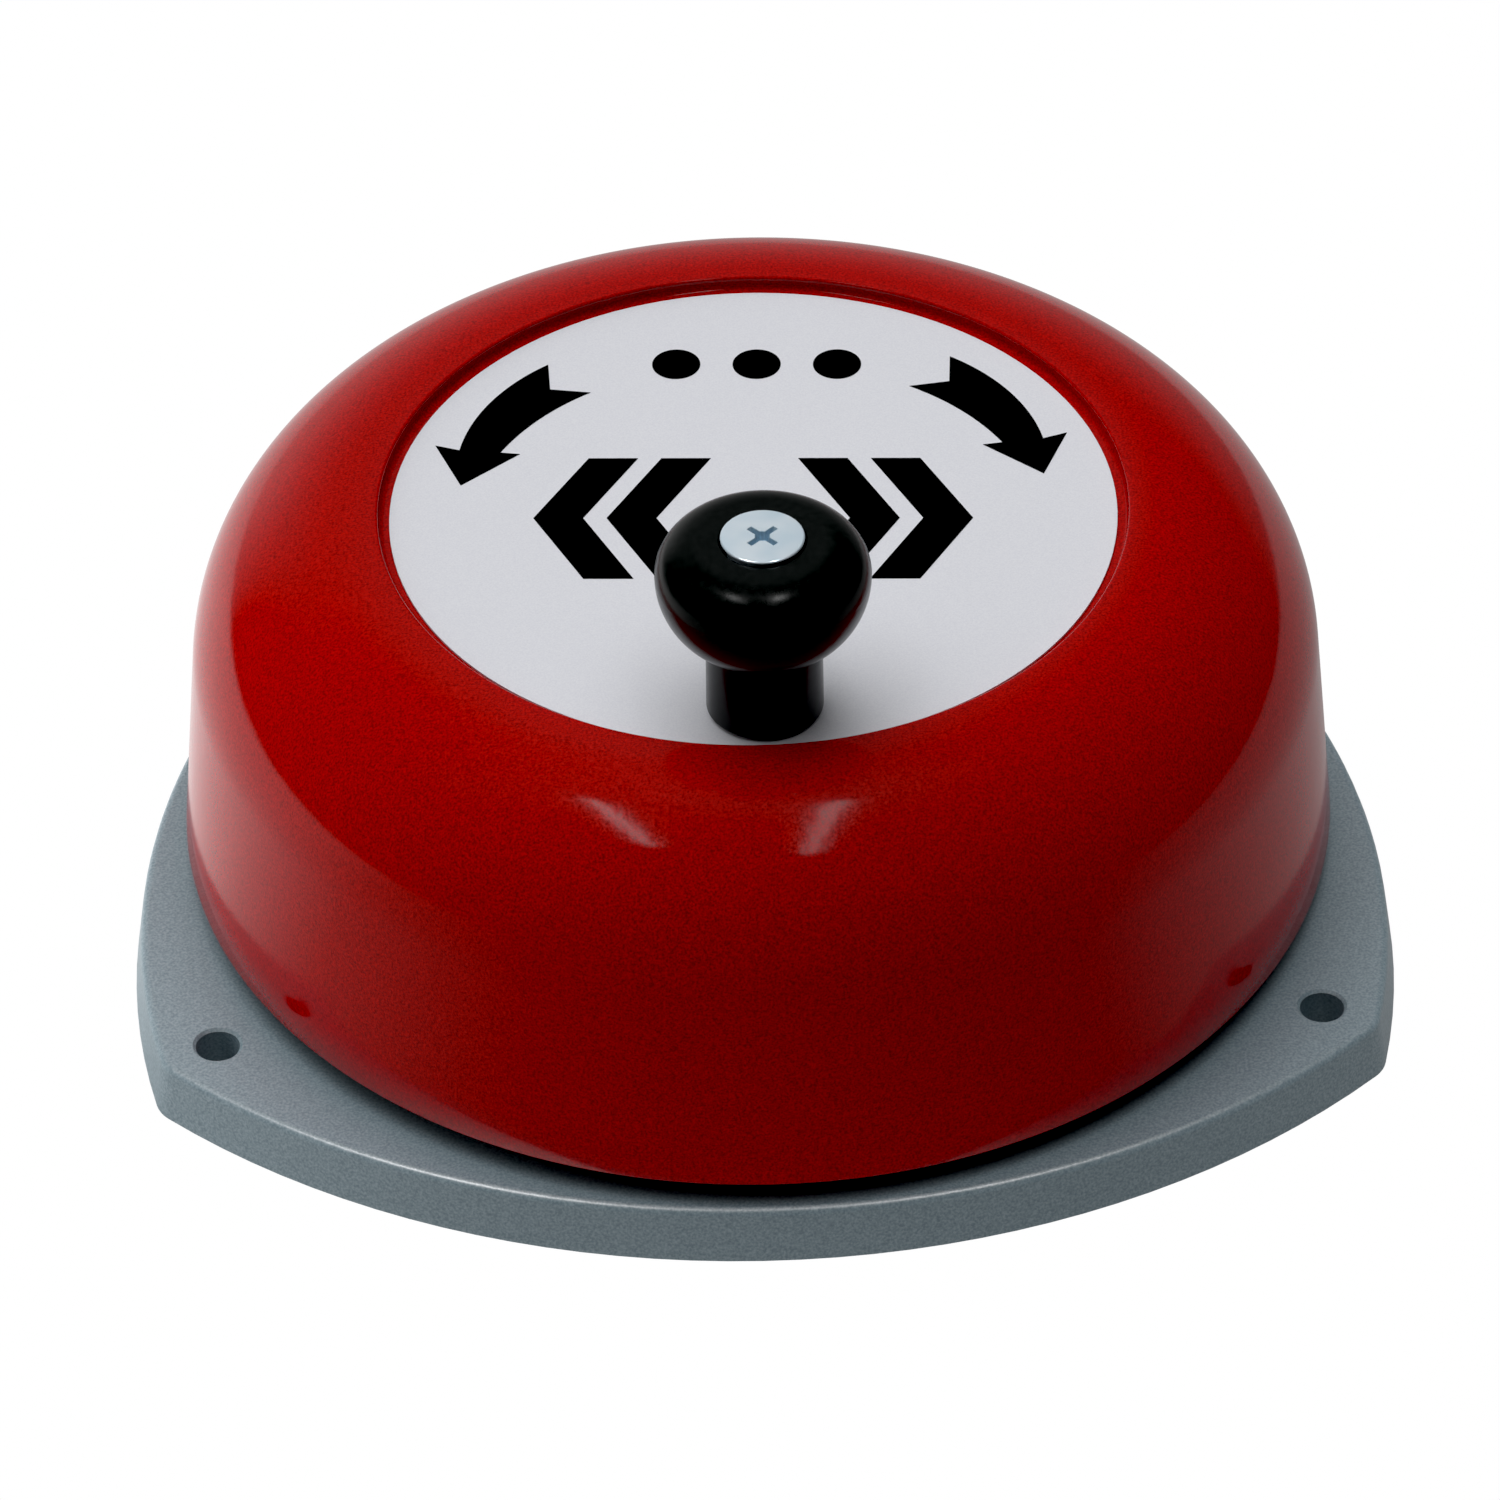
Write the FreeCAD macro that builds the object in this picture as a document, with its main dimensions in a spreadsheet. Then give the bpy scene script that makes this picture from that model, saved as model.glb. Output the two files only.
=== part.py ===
import FreeCAD, Part
import math
import os
import types

import Sketcher

# Rotary fire bell for a wall: a three-cornered cast base, a pressed red gong that turns on a
# spindle, a knob to turn it by and, inside, a gear pair that whirls two hinged hammers round
# so that they strike the gong.
# The frame stands on the spindle axis in the plane of the wall: +Z points out of the wall, and
# the knob rests on the -Y side. All lengths are millimetres and all angles are degrees.

SIZES = [
    # The cast base
    ("plate_side_reach", 102.7, "spindle axis to the middle of each side of the base"),
    ("plate_height", 10.0, "wall to the top face of the base"),
    ("plate_draft", 8.0, "lean of the base's outer wall"),
    ("plate_corner_round", 7.0, "radius of the three corners in plan"),
    ("plate_edge_round", 1.3, "radius round the top edge"),
    ("plate_web", 4.0, "thickness of the base's top web"),
    ("plate_wall", 4.5, "thickness of the base's outer wall"),
    ("fixing_circle", 109.0, "spindle axis to each fixing hole"),
    ("corner_margin", 12.0, "fixing hole's axis to the point where the base's sides would meet"),
    ("fixing_bore", 7.6, "diameter of a fixing hole"),
    ("fixing_edge", 0.5, "chamfer round the top of a fixing hole"),
    ("fixing_boss", 17.0, "diameter of the boss round a fixing hole"),
    ("rib_width", 3.5, "width of the ribs under the base"),
    ("rib_relief", 1.0, "wall to the lower edge of the ribs"),
    ("rib_ring_radius", 16.0, "middle radius of the round rib at the centre"),
    ("tower_radius", 12.0, "outer radius of the bearing tower"),
    ("tower_height", 40.0, "top face of the base to the top of the tower"),
    ("tower_foot_round", 5.0, "radius where the tower meets the base"),
    # Spindle and its bushes
    ("running_gap", 0.05, "radial clearance of a part that turns on another"),
    ("fixed_gap", 0.02, "radial clearance of a part fixed in another"),
    ("thrust_gap", 0.15, "end clearance between faces that slide on each other"),
    ("spindle_radius", 5.0, "radius of the spindle"),
    ("spindle_rise", 1.2, "wall to the lower end of the spindle"),
    ("end_chamfer", 0.5, "chamfer on the ends of pins and screws"),
    ("bush_wall", 2.0, "wall of a spindle bush"),
    ("bush_length", 12.0, "length of a bush in the tower"),
    ("bush_flange_reach", 2.5, "how far a bush's flange stands out"),
    ("bush_flange", 1.5, "thickness of a bush's flange"),
    ("clip_thickness", 1.0, "thickness of a retaining ring"),
    ("clip_depth", 0.8, "depth of a retaining ring's groove"),
    ("clip_reach", 2.0, "how far a retaining ring stands out of its shaft"),
    ("clip_opening", 4.0, "gap in a retaining ring"),
    ("clip_gap", 0.05, "end clearance of a retaining ring in its groove"),
    ("washer_thickness", 1.0, "thickness of the plain washers"),
    ("washer_reach", 3.5, "how far a plain washer stands out of its shaft"),
    # The gong and the face plate let into it
    ("gong_radius", 100.0, "radius of the gong at its rim"),
    ("gong_gap", 4.6, "top face of the base to the gong's rim"),
    ("gong_height", 65.9, "rim of the gong to its crest"),
    ("gong_wall", 1.8, "thickness of the pressed sheet"),
    ("gong_lean", 4.7, "lean of the gong's side"),
    ("shoulder_radius", 32.0, "radius of the gong's shoulder"),
    ("recess_depth", 2.4, "crest of the gong to the floor of the recess"),
    ("lip_roll", 1.2, "radius of the lip round the recess"),
    ("recess_wall", 0.1, "upright part of the recess's side"),
    ("face_plate_thickness", 0.4, "thickness of the face plate"),
    ("face_plate_gap", 0.7, "clearance round the face plate"),
    # Hub and drive gear
    ("hub_flange_radius", 26.0, "radius of the hub's flange"),
    ("hub_flange", 4.0, "thickness of the hub's flange"),
    ("hub_body_radius", 17.0, "radius of the hub above the gear"),
    ("hub_body", 10.9, "length of the hub between flange and gear"),
    ("hub_spigot_radius", 9.0, "radius of the hub inside the gear"),
    ("hub_rivet_circle", 21.5, "spindle axis to each hub rivet"),
    ("hub_rivet_radius", 2.5, "radius of a hub rivet"),
    ("hub_rivet_count", 3, "rivets that hold the gong to the hub"),
    ("rivet_head_reach", 1.5, "how far a rivet's head stands out of its shank"),
    ("rivet_head", 2.0, "height of a rivet's formed head"),
    ("rivet_head_round", 2.5, "radius round a hub rivet's formed head"),
    ("hub_pin_radius", 1.5, "radius of the cross pin through hub and spindle"),
    ("hub_pin_rise", 2.7, "lower end of the hub to the middle of the cross pin"),
    ("gear_module", 1.0, "module of the gear pair"),
    ("gear_teeth", 96, "teeth of the drive gear"),
    ("pinion_teeth", 18, "teeth of the pinion"),
    ("pressure_angle", 20.0, "pressure angle of the gear pair"),
    ("root_depth", 1.25, "pitch circle to the foot of the teeth, in modules"),
    ("tooth_thinning", 0.12, "taken off each tooth's width at the pitch circle"),
    ("gear_thickness", 4.0, "thickness of the drive gear"),
    ("gear_window_radius", 9.0, "radius of each window in the drive gear"),
    ("gear_window_circle", 31.0, "spindle axis to each window"),
    ("gear_window_count", 6, "windows in the drive gear"),
    ("gear_screw_circle", 13.2, "spindle axis to each gear screw"),
    ("gear_screw_radius", 1.5, "radius of a gear screw"),
    ("gear_screw_count", 3, "screws that hold the gear to the hub"),
    ("gear_screw_length", 11.0, "length of a gear screw under its head"),
    ("gear_screw_head", 1.8, "height of a gear screw's head"),
    ("screw_head_reach", 1.3, "how far a gear screw's head stands out of its shank"),
    # The rotor that carries the hammers
    ("stud_radius", 4.0, "radius of the fixed stud that the rotor turns on"),
    ("stud_thread_radius", 3.0, "radius of the stud where it goes through the base"),
    ("stud_collar_radius", 6.5, "radius of the stud's collar"),
    ("stud_collar", 2.0, "height of the stud's collar"),
    ("stud_end", 0.9, "how far the stud stands above its retaining ring"),
    ("stud_boss_radius", 9.5, "radius of the stud's boss on the base"),
    ("stud_boss", 4.0, "height of the stud's boss"),
    ("stud_nut_height", 3.2, "height of the nut under the base"),
    ("sleeve_wall", 2.45, "wall of the rotor's bronze sleeve"),
    ("sleeve_flange_radius", 11.0, "radius of the sleeve's flange"),
    ("sleeve_flange", 3.0, "thickness of the sleeve's flange"),
    ("sleeve_foot", 5.0, "lower end of the sleeve to its flange"),
    ("arm_thickness", 3.0, "thickness of the hammer arm"),
    ("arm_lobe_radius", 4.6, "radius of the arm's ends"),
    ("arm_rivet_circle", 8.9, "rotor axis to each rivet of the arm"),
    ("arm_rivet_radius", 1.2, "radius of a rivet of the arm"),
    ("hammer_pin_radius", 2.0, "radius of a hammer's pin"),
    ("hammer_pin_head", 1.6, "thickness of the pin's head under the arm"),
    ("hammer_pin_head_reach", 0.8, "how far the pin's head stands out of its shank"),
    ("hammer_pin_end", 0.8, "how far the pin stands above its push-on ring"),
    ("hammer_length", 10.3, "a hammer's pin to the middle of its head"),
    ("hammer_eye_radius", 4.6, "radius of a hammer's eye"),
    ("hammer_link", 4.0, "thickness of a hammer's link"),
    ("hammer_link_width", 6.6, "width of a hammer's link"),
    ("hammer_head_radius", 5.1, "radius of a hammer's head"),
    ("hammer_head_drop", 8.0, "how far a hammer's head hangs below its link"),
    ("hammer_edge", 0.8, "chamfer on the edges of a hammer's head"),
    ("strike_gap", 0.4, "gap that a hammer at full reach leaves to the gong"),
    ("pinion_thickness", 5.0, "length of the pinion's teeth"),
    ("pinion_collar", 6.0, "length of the pinion's collar"),
    ("pinion_collar_radius", 10.5, "radius of the pinion's collar"),
    ("set_screw_radius", 1.5, "radius of the pinion's set screw"),
    # The knob and what holds it
    ("knob_margin", 12.2, "edge of the gong's recess to the knob's axis"),
    ("knob_ball_radius", 17.9, "radius of the knob at its widest"),
    ("knob_ball_rise", 28.0, "face plate to where the knob is widest"),
    ("knob_top_rise", 35.3, "face plate to the flat on top of the knob"),
    ("knob_under_round", 14.2, "radius of the knob's side below its widest part"),
    ("knob_neck_radius", 9.7, "radius of the neck where it meets the ball"),
    ("knob_foot_radius", 9.8, "radius of the neck near its foot"),
    ("knob_foot_round", 0.6, "radius round the foot of the neck"),
    ("knob_sleeve_wall", 1.9, "wall of the steel sleeve that the knob turns on"),
    ("knob_washer_thickness", 0.3, "thickness of the washer under the knob"),
    ("knob_washer_reach", 2.6, "how far that washer stands out of the sleeve"),
    ("knob_screw_radius", 3.0, "radius of the knob's screw"),
    ("knob_head_radius", 7.0, "radius of that screw's head"),
    ("knob_head", 2.4, "thickness of that screw's head"),
    ("knob_head_proud", 0.8, "how far the head stands above the knob"),
    ("knob_head_round", 0.8, "radius round the top of the head"),
    ("knob_head_gap", 0.3, "clearance round the head in the knob"),
    ("recess_arm_length", 2.8, "screw axis to the end of each arm of the cross recess"),
    ("recess_arm_width", 1.1, "width of the cross recess's arms"),
    ("cross_depth", 1.5, "depth of the cross recess"),
    ("lock_washer_thickness", 1.5, "thickness of the washer under the gong"),
    ("knob_nut_height", 4.8, "height of the nut under the gong"),
    ("nut_reach", 2.8, "screw to the corners of its nut, less the screw's radius"),
    ("thread_end", 0.9, "how far a screw stands out of its nut"),
]

CORNERS = 3  # of the base, each with its fixing hole
HAMMERS = 2  # on the rotor, each with its pin
TOUCH = 1e-4  # how close two lengths are taken to be the same


class Size:
    """A number together with the formula, over the names in the sheet, that it comes from."""

    def __init__(self, value, formula):
        self.value = value
        self.formula = formula

    def __add__(self, other):
        return Size(self.value + number(other), f"({self.formula} + {formula(other)})")

    def __radd__(self, other):
        return Size(number(other) + self.value, f"({formula(other)} + {self.formula})")

    def __sub__(self, other):
        return Size(self.value - number(other), f"({self.formula} - {formula(other)})")

    def __rsub__(self, other):
        return Size(number(other) - self.value, f"({formula(other)} - {self.formula})")

    def __mul__(self, other):
        return Size(self.value * number(other), f"({self.formula} * {formula(other)})")

    def __rmul__(self, other):
        return Size(number(other) * self.value, f"({formula(other)} * {self.formula})")

    def __truediv__(self, other):
        return Size(self.value / number(other), f"({self.formula} / {formula(other)})")

    def __neg__(self):
        return Size(-self.value, f"(-{self.formula})")


def number(size):
    """The plain number of a size."""
    return size.value if isinstance(size, Size) else size


def formula(size):
    """The sheet formula of a size."""
    return size.formula if isinstance(size, Size) else repr(size)


def sine(angle):
    return Size(math.sin(math.radians(number(angle))), f"sin({formula(angle)})")


def cosine(angle):
    return Size(math.cos(math.radians(number(angle))), f"cos({formula(angle)})")


def root(size):
    return Size(math.sqrt(number(size)), f"sqrt({formula(size)})")


def make_sheet(doc):
    """Fills the sheet of driving dimensions and returns its rows as sizes, by name."""
    sheet = doc.addObject("Spreadsheet::Sheet", "Sizes")
    for row, (name, value, meaning) in enumerate(SIZES, start=1):
        sheet.set(f"A{row}", meaning)
        sheet.set(f"B{row}", str(value))
        sheet.setAlias(f"B{row}", name)
    doc.recompute()
    return types.SimpleNamespace(
        **{name: Size(float(sheet.get(name)), f"Sizes.{name}") for name, _, _ in SIZES})


def derive(d):
    """Adds the heights, radii and places that several pieces share."""
    # Heights above the wall
    d.web_underside = d.plate_height - d.plate_web
    d.tower_top = d.plate_height + d.tower_height
    d.hub_bottom = d.tower_top + d.bush_flange + d.thrust_gap
    d.rim_level = d.plate_height + d.gong_gap
    d.crest_level = d.rim_level + d.gong_height
    d.recess_floor = d.crest_level - d.recess_depth
    d.face_level = d.recess_floor + d.face_plate_thickness
    d.gong_underside = d.recess_floor - d.gong_wall
    d.hub_flange_level = d.gong_underside - d.hub_flange
    d.gear_top = d.hub_flange_level - d.hub_body
    d.gear_bottom = d.gear_top - d.gear_thickness
    d.stud_boss_top = d.plate_height + d.stud_boss
    d.sleeve_bottom = d.stud_boss_top + d.stud_collar + d.thrust_gap
    d.arm_bottom = d.sleeve_bottom + d.sleeve_foot + d.sleeve_flange
    d.arm_top = d.arm_bottom + d.arm_thickness
    d.link_bottom = d.arm_top + d.thrust_gap
    d.link_top = d.link_bottom + d.hammer_link
    d.pinion_bottom = d.gear_bottom + d.gear_thickness / 2 - d.pinion_thickness / 2
    d.sleeve_top = d.pinion_bottom + d.pinion_thickness + d.thrust_gap
    d.rotor_washer_level = d.sleeve_top + d.thrust_gap
    d.rotor_clip_level = d.rotor_washer_level + d.washer_thickness + d.clip_gap
    d.spindle_washer_level = d.web_underside - d.bush_flange - d.thrust_gap - d.washer_thickness
    d.spindle_clip_level = d.spindle_washer_level - d.clip_gap - d.clip_thickness
    # Shared radii
    d.bush_radius = d.spindle_radius + d.running_gap + d.bush_wall
    d.bush_flange_radius = d.bush_radius + d.bush_flange_reach
    d.tower_bore = d.bush_radius + d.fixed_gap
    d.sleeve_radius = d.stud_radius + d.running_gap + d.sleeve_wall
    d.knob_sleeve_radius = d.knob_screw_radius + d.running_gap + d.knob_sleeve_wall
    # The gong's profile: the shoulder's arc is centred over the crest
    d.shoulder_centre = d.crest_level - d.shoulder_radius
    d.side_top = d.shoulder_centre + d.shoulder_radius * sine(d.gong_lean)
    d.side_slope = sine(d.gong_lean) / cosine(d.gong_lean)
    d.crest_radius = (d.gong_radius - (d.side_top - d.rim_level) * d.side_slope
                      - d.shoulder_radius * cosine(d.gong_lean))
    d.recess_radius = d.crest_radius - d.lip_roll
    d.recess_round = d.recess_depth - d.lip_roll - d.recess_wall
    # Rotor
    d.rotor_centre = d.gear_module * (d.gear_teeth + d.pinion_teeth) / 2
    gong_inside = (d.gong_radius - (d.link_top - d.rim_level) * d.side_slope
                   - d.gong_wall / cosine(d.gong_lean))
    d.hammer_circle = (gong_inside - d.strike_gap - d.hammer_head_radius - d.hammer_length
                       - d.rotor_centre)
    # Base: each side is an arc whose centre lies beyond the axis
    corner_reach = d.fixing_circle + d.corner_margin
    half_chord = corner_reach * cosine(30)
    bulge = d.plate_side_reach - corner_reach / 2
    d.side_arc = (half_chord * half_chord + bulge * bulge) / (2 * bulge)
    d.side_arc_offset = d.side_arc - d.plate_side_reach
    # Knob
    d.knob_circle = d.recess_radius - d.knob_margin
    d.knob_head_seat = d.face_level + d.knob_top_rise + d.knob_head_proud - d.knob_head
    d.knob_nut_level = d.gong_underside - d.lock_washer_thickness - d.knob_nut_height


def new_body(doc, label):
    """Starts a piece as a body of its own."""
    body = doc.addObject("PartDesign::Body", label)
    body.AllowCompound = True
    return body


def origin_feature(body, role):
    return next(item for item in body.Origin.OriginFeatures if item.Role == role)


def new_sketch(body, role, name, lift=None):
    """Adds a sketch on one of the body's own planes, lifted off it by a size if one is given."""
    sketch = body.newObject("Sketcher::SketchObject", f"{body.Name}_{name}")
    sketch.AttachmentSupport = [(origin_feature(body, role), "")]
    sketch.MapMode = "FlatFace"
    if lift is not None:
        sketch.setExpression("AttachmentOffset.Base.z", formula(lift))
    return sketch


def bind(sketch, kind, place, size):
    """Adds one constraint and ties it to its formula."""
    index = sketch.addConstraint(Sketcher.Constraint(kind, *place, number(size)))
    sketch.renameConstraint(index, f"{kind}{index}")
    sketch.setExpression(f"Constraints.{kind}{index}", formula(size))


def pin_point(sketch, geometry, position, x, y):
    """Fixes one point of the sketch at x, y."""
    for kind, size, axis in (("DistanceX", x, -2), ("DistanceY", y, -1)):
        if isinstance(size, Size):
            bind(sketch, kind, (-1, 1, geometry, position), size)
        else:
            sketch.addConstraint(Sketcher.Constraint("PointOnObject", geometry, position, axis))


def arc_between(begin, end, radius):
    """The arc from begin to end with its centre on the left, or on the right for a radius
    below nothing, and whether it runs clockwise."""
    chord = end - begin
    height = math.sqrt(max(radius ** 2 - (chord.Length / 2) ** 2, 0.0))
    left = FreeCAD.Vector(-chord.y, chord.x, 0).normalize()
    centre = (begin + end) * 0.5 + left * math.copysign(height, radius)
    angles = [math.atan2(point.y - centre.y, point.x - centre.x) for point in (begin, end)]
    if radius < 0:
        angles.reverse()
    circle = Part.Circle(centre, FreeCAD.Vector(0, 0, 1), abs(radius))
    return Part.ArcOfCircle(circle, *angles), radius < 0


def outline(sketch, corners):
    """Draws a closed outline. A corner (x, y) is reached in a straight line, and a corner
    (x, y, radius) on an arc. A plain 0 lies on the axis, and any other place is a size."""
    points = [FreeCAD.Vector(number(corner[0]), number(corner[1]), 0) for corner in corners]
    ends = []
    for index, corner in enumerate(corners):
        begin, end = points[index - 1], points[index]
        if len(corner) == 3:
            arc, clockwise = arc_between(begin, end, number(corner[2]))
            edge = sketch.addGeometry(arc, False)
            bind(sketch, "Radius", (edge,), corner[2] if number(corner[2]) > 0 else -corner[2])
            ends.append((edge, 2, 1) if clockwise else (edge, 1, 2))
        else:
            ends.append((sketch.addGeometry(Part.LineSegment(begin, end), False), 1, 2))
    for index, corner in enumerate(corners):
        edge, _, last = ends[index]
        following, first, _ = ends[(index + 1) % len(corners)]
        sketch.addConstraint(Sketcher.Constraint("Coincident", edge, last, following, first))
        pin_point(sketch, edge, last, corner[0], corner[1])


def circle(sketch, x, y, radius):
    """Draws one circle."""
    centre = FreeCAD.Vector(number(x), number(y), 0)
    normal = FreeCAD.Vector(0, 0, 1)
    edge = sketch.addGeometry(Part.Circle(centre, normal, number(radius)), False)
    pin_point(sketch, edge, 3, x, y)
    bind(sketch, "Radius", (edge,), radius)


def centre_line(sketch, x):
    """Draws the line, parallel to the sketch's upright axis, that a piece is turned about."""
    length = 10
    points = [FreeCAD.Vector(number(x), 0, 0), FreeCAD.Vector(number(x), length, 0)]
    line = sketch.addGeometry(Part.LineSegment(*points), True)
    pin_point(sketch, line, 1, x, 0)
    sketch.addConstraint(Sketcher.Constraint("Vertical", line))
    sketch.addConstraint(Sketcher.Constraint("DistanceY", line, 1, line, 2, length))


def revolve(body, sketch, axis="V_Axis"):
    """Turns a sketch once round its axis."""
    feature = body.newObject("PartDesign::Revolution", f"{sketch.Name}_turned")
    feature.Profile = sketch
    feature.ReferenceAxis = (sketch, [axis])
    feature.Angle = 360
    return feature


def pad(body, sketch, length):
    """Raises a sketch by a length, the way that its plane looks."""
    feature = body.newObject("PartDesign::Pad", f"{sketch.Name}_pad")
    feature.Profile = sketch
    feature.setExpression("Length", formula(length))
    return feature


def pocket(body, sketch, length=None, upwards=False):
    """Cuts a sketch out: to a length, the way that its plane looks or the other way, or right
    through both ways where no length is given."""
    feature = body.newObject("PartDesign::Pocket", f"{sketch.Name}_cut")
    feature.Profile = sketch
    if length is None:
        feature.Type = "ThroughAll"
        feature.Midplane = True
    else:
        feature.setExpression("Length", formula(length))
        feature.Reversed = upwards
    return feature


def repeat_round(body, features, count):
    """Repeats features round the body's Z axis."""
    pattern = body.newObject("PartDesign::PolarPattern", f"{features[-1].Name}_round")
    pattern.Originals = features
    pattern.Axis = (origin_feature(body, "Z_Axis"), [""])
    pattern.Angle = 360
    if isinstance(count, Size):
        pattern.setExpression("Occurrences", formula(count))
    else:
        pattern.Occurrences = count
    body.Tip = pattern
    return pattern


def place(piece, x=0, y=0, z=0, axis=(0, 0, 1), turn=0):
    """Turns a piece about an axis of its own and sets it down at x, y, z."""
    spot = FreeCAD.Vector(number(x), number(y), number(z))
    piece.Placement = FreeCAD.Placement(spot, FreeCAD.Rotation(FreeCAD.Vector(*axis), turn))
    for letter, size in (("x", x), ("y", y), ("z", z)):
        if isinstance(size, Size):
            piece.setExpression(f"Placement.Base.{letter}", formula(size))
    return piece


def edges_where(feature, test):
    """Names the edges of a feature whose middle and radius pass a test."""
    names = []
    for index, edge in enumerate(feature.Shape.Edges, start=1):
        middle = edge.valueAt((edge.FirstParameter + edge.LastParameter) / 2)
        if test(edge, middle):
            names.append(f"Edge{index}")
    return names


def dress(body, kind, feature, names, size):
    """Rounds ("Fillet") or chamfers ("Chamfer") edges of a feature."""
    dressing = body.newObject(f"PartDesign::{kind}", f"{feature.Name}_{kind.lower()}")
    dressing.Base = (feature, names)
    dressing.setExpression("Radius" if kind == "Fillet" else "Size", formula(size))
    return dressing


def turned(doc, label, corners):
    """A piece turned on a lathe: corners are (radius, height) from the inside out."""
    body = new_body(doc, label)
    profile = new_sketch(body, "XZ_Plane", "profile")
    outline(profile, corners)
    revolve(body, profile)
    return body


def turned_ring(doc, label, inner, outer, thickness):
    """A plain washer or tube."""
    return turned(doc, label, [(inner, 0), (outer, 0), (outer, thickness), (inner, thickness)])


def turned_group(doc, label, circle_radius, corners, count):
    """Equal turned pieces spaced round the body's axis, from +Y on. Corners are (radius from
    each piece's own axis, height)."""
    body = new_body(doc, label)
    profile = new_sketch(body, "XZ_Plane", "profile")
    outline(profile, [(circle_radius + corner[0], *corner[1:]) for corner in corners])
    centre_line(profile, circle_radius)
    repeat_round(body, [revolve(body, profile, "Axis0")], count)
    return place(body, turn=90)


def hole_round(body, name, circle_radius, radius, count):
    """Holes right through a body, spaced round its axis from +Y on."""
    sketch = new_sketch(body, "XY_Plane", name)
    circle(sketch, 0, circle_radius, radius)
    return repeat_round(body, [pocket(body, sketch)], count)


def three_sides(sketch, arc_radius, arc_offset):
    """The base's outline: three bulged sides that meet at corners at 90, 210 and 330 degrees.
    Each side's arc is centred arc_offset beyond the axis."""
    aside = arc_offset * cosine(30)
    reach = root(arc_radius * arc_radius - aside * aside) - arc_offset / 2
    across = reach * cosine(30)
    outline(sketch, [
        (0, reach, arc_radius),
        (-across, -reach / 2, arc_radius),
        (across, -reach / 2, arc_radius)])


def make_base_plate(doc, d):
    """The cast base: a hollow three-cornered plate with a bearing tower and a stud boss."""
    body = new_body(doc, "base_plate")
    plan = new_sketch(body, "XY_Plane", "plan")
    three_sides(plan, d.side_arc, d.side_arc_offset)
    plate = pad(body, plan, d.plate_height)
    plate.setExpression("TaperAngle", formula(-d.plate_draft))
    doc.recompute()
    top = number(d.plate_height)
    upright = edges_where(plate, lambda edge, middle: abs(middle.z - top / 2) < top / 4)
    corners = dress(body, "Fillet", plate, upright, d.plate_corner_round)
    doc.recompute()
    rim = edges_where(corners, lambda edge, middle: abs(middle.z - top) < TOUCH)
    dress(body, "Fillet", corners, rim, d.plate_edge_round)
    hollow = new_sketch(body, "XY_Plane", "hollow")
    three_sides(hollow, d.side_arc - d.plate_wall, d.side_arc_offset)
    pocket(body, hollow, d.web_underside, upwards=True)
    # Bosses, ribs and tower grow from half-way up the web, so that each joins it
    root_level = d.plate_height - d.plate_web / 2
    bosses = new_sketch(body, "XY_Plane", "boss")
    circle(bosses, 0, d.fixing_circle, d.fixing_boss / 2)
    repeat_round(body, [pad(body, bosses, root_level)], CORNERS)
    ring = new_sketch(body, "XY_Plane", "ring", d.rib_relief)
    circle(ring, 0, 0, d.rib_ring_radius + d.rib_width / 2)
    circle(ring, 0, 0, d.rib_ring_radius - d.rib_width / 2)
    pad(body, ring, root_level - d.rib_relief)
    rib = new_sketch(body, "XY_Plane", "rib", d.rib_relief)
    half = d.rib_width / 2
    far = d.plate_wall / 2 - d.plate_side_reach
    outline(rib, [(half, far), (half, -d.rib_ring_radius),
                  (-half, -d.rib_ring_radius), (-half, far)])
    repeat_round(body, [pad(body, rib, root_level - d.rib_relief)], CORNERS)
    tower = new_sketch(body, "XZ_Plane", "tower")
    outline(tower, [
        (0, root_level),
        (d.tower_radius + d.tower_foot_round, root_level),
        (d.tower_radius + d.tower_foot_round, d.plate_height),
        (d.tower_radius, d.plate_height + d.tower_foot_round, -d.tower_foot_round),
        (d.tower_radius, d.tower_top - d.end_chamfer),
        (d.tower_radius - d.end_chamfer, d.tower_top),
        (0, d.tower_top)])
    revolve(body, tower)
    stud_boss = new_sketch(body, "XY_Plane", "stud_boss", root_level)
    circle(stud_boss, 0, d.rotor_centre, d.stud_boss_radius)
    pad(body, stud_boss, d.stud_boss_top - root_level)
    bores = new_sketch(body, "XY_Plane", "bores")
    circle(bores, 0, 0, d.tower_bore)
    circle(bores, 0, d.rotor_centre, d.stud_thread_radius + d.fixed_gap)
    pocket(body, bores)
    fixing = new_sketch(body, "XY_Plane", "fixing")
    circle(fixing, 0, d.fixing_circle, d.fixing_bore / 2)
    holes = repeat_round(body, [pocket(body, fixing)], CORNERS)
    doc.recompute()
    bore = number(d.fixing_bore / 2)
    mouths = edges_where(holes, lambda edge, middle: abs(middle.z - top) < TOUCH and (
        isinstance(edge.Curve, Part.Circle) and abs(edge.Curve.Radius - bore) < TOUCH))
    dress(body, "Chamfer", holes, mouths, d.fixing_edge)
    return body


def make_bushes(doc, d):
    """Two flanged bronze bushes, one let into each end of the tower."""
    corners = [
        (d.spindle_radius + d.running_gap, -d.bush_length),
        (d.bush_radius, -d.bush_length),
        (d.bush_radius, 0),
        (d.bush_flange_radius, 0),
        (d.bush_flange_radius, d.bush_flange),
        (d.spindle_radius + d.running_gap, d.bush_flange)]
    place(turned(doc, "bush_upper", corners), z=d.tower_top)
    place(turned(doc, "bush_lower", corners), z=d.web_underside, axis=(1, 0, 0), turn=180)


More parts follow.
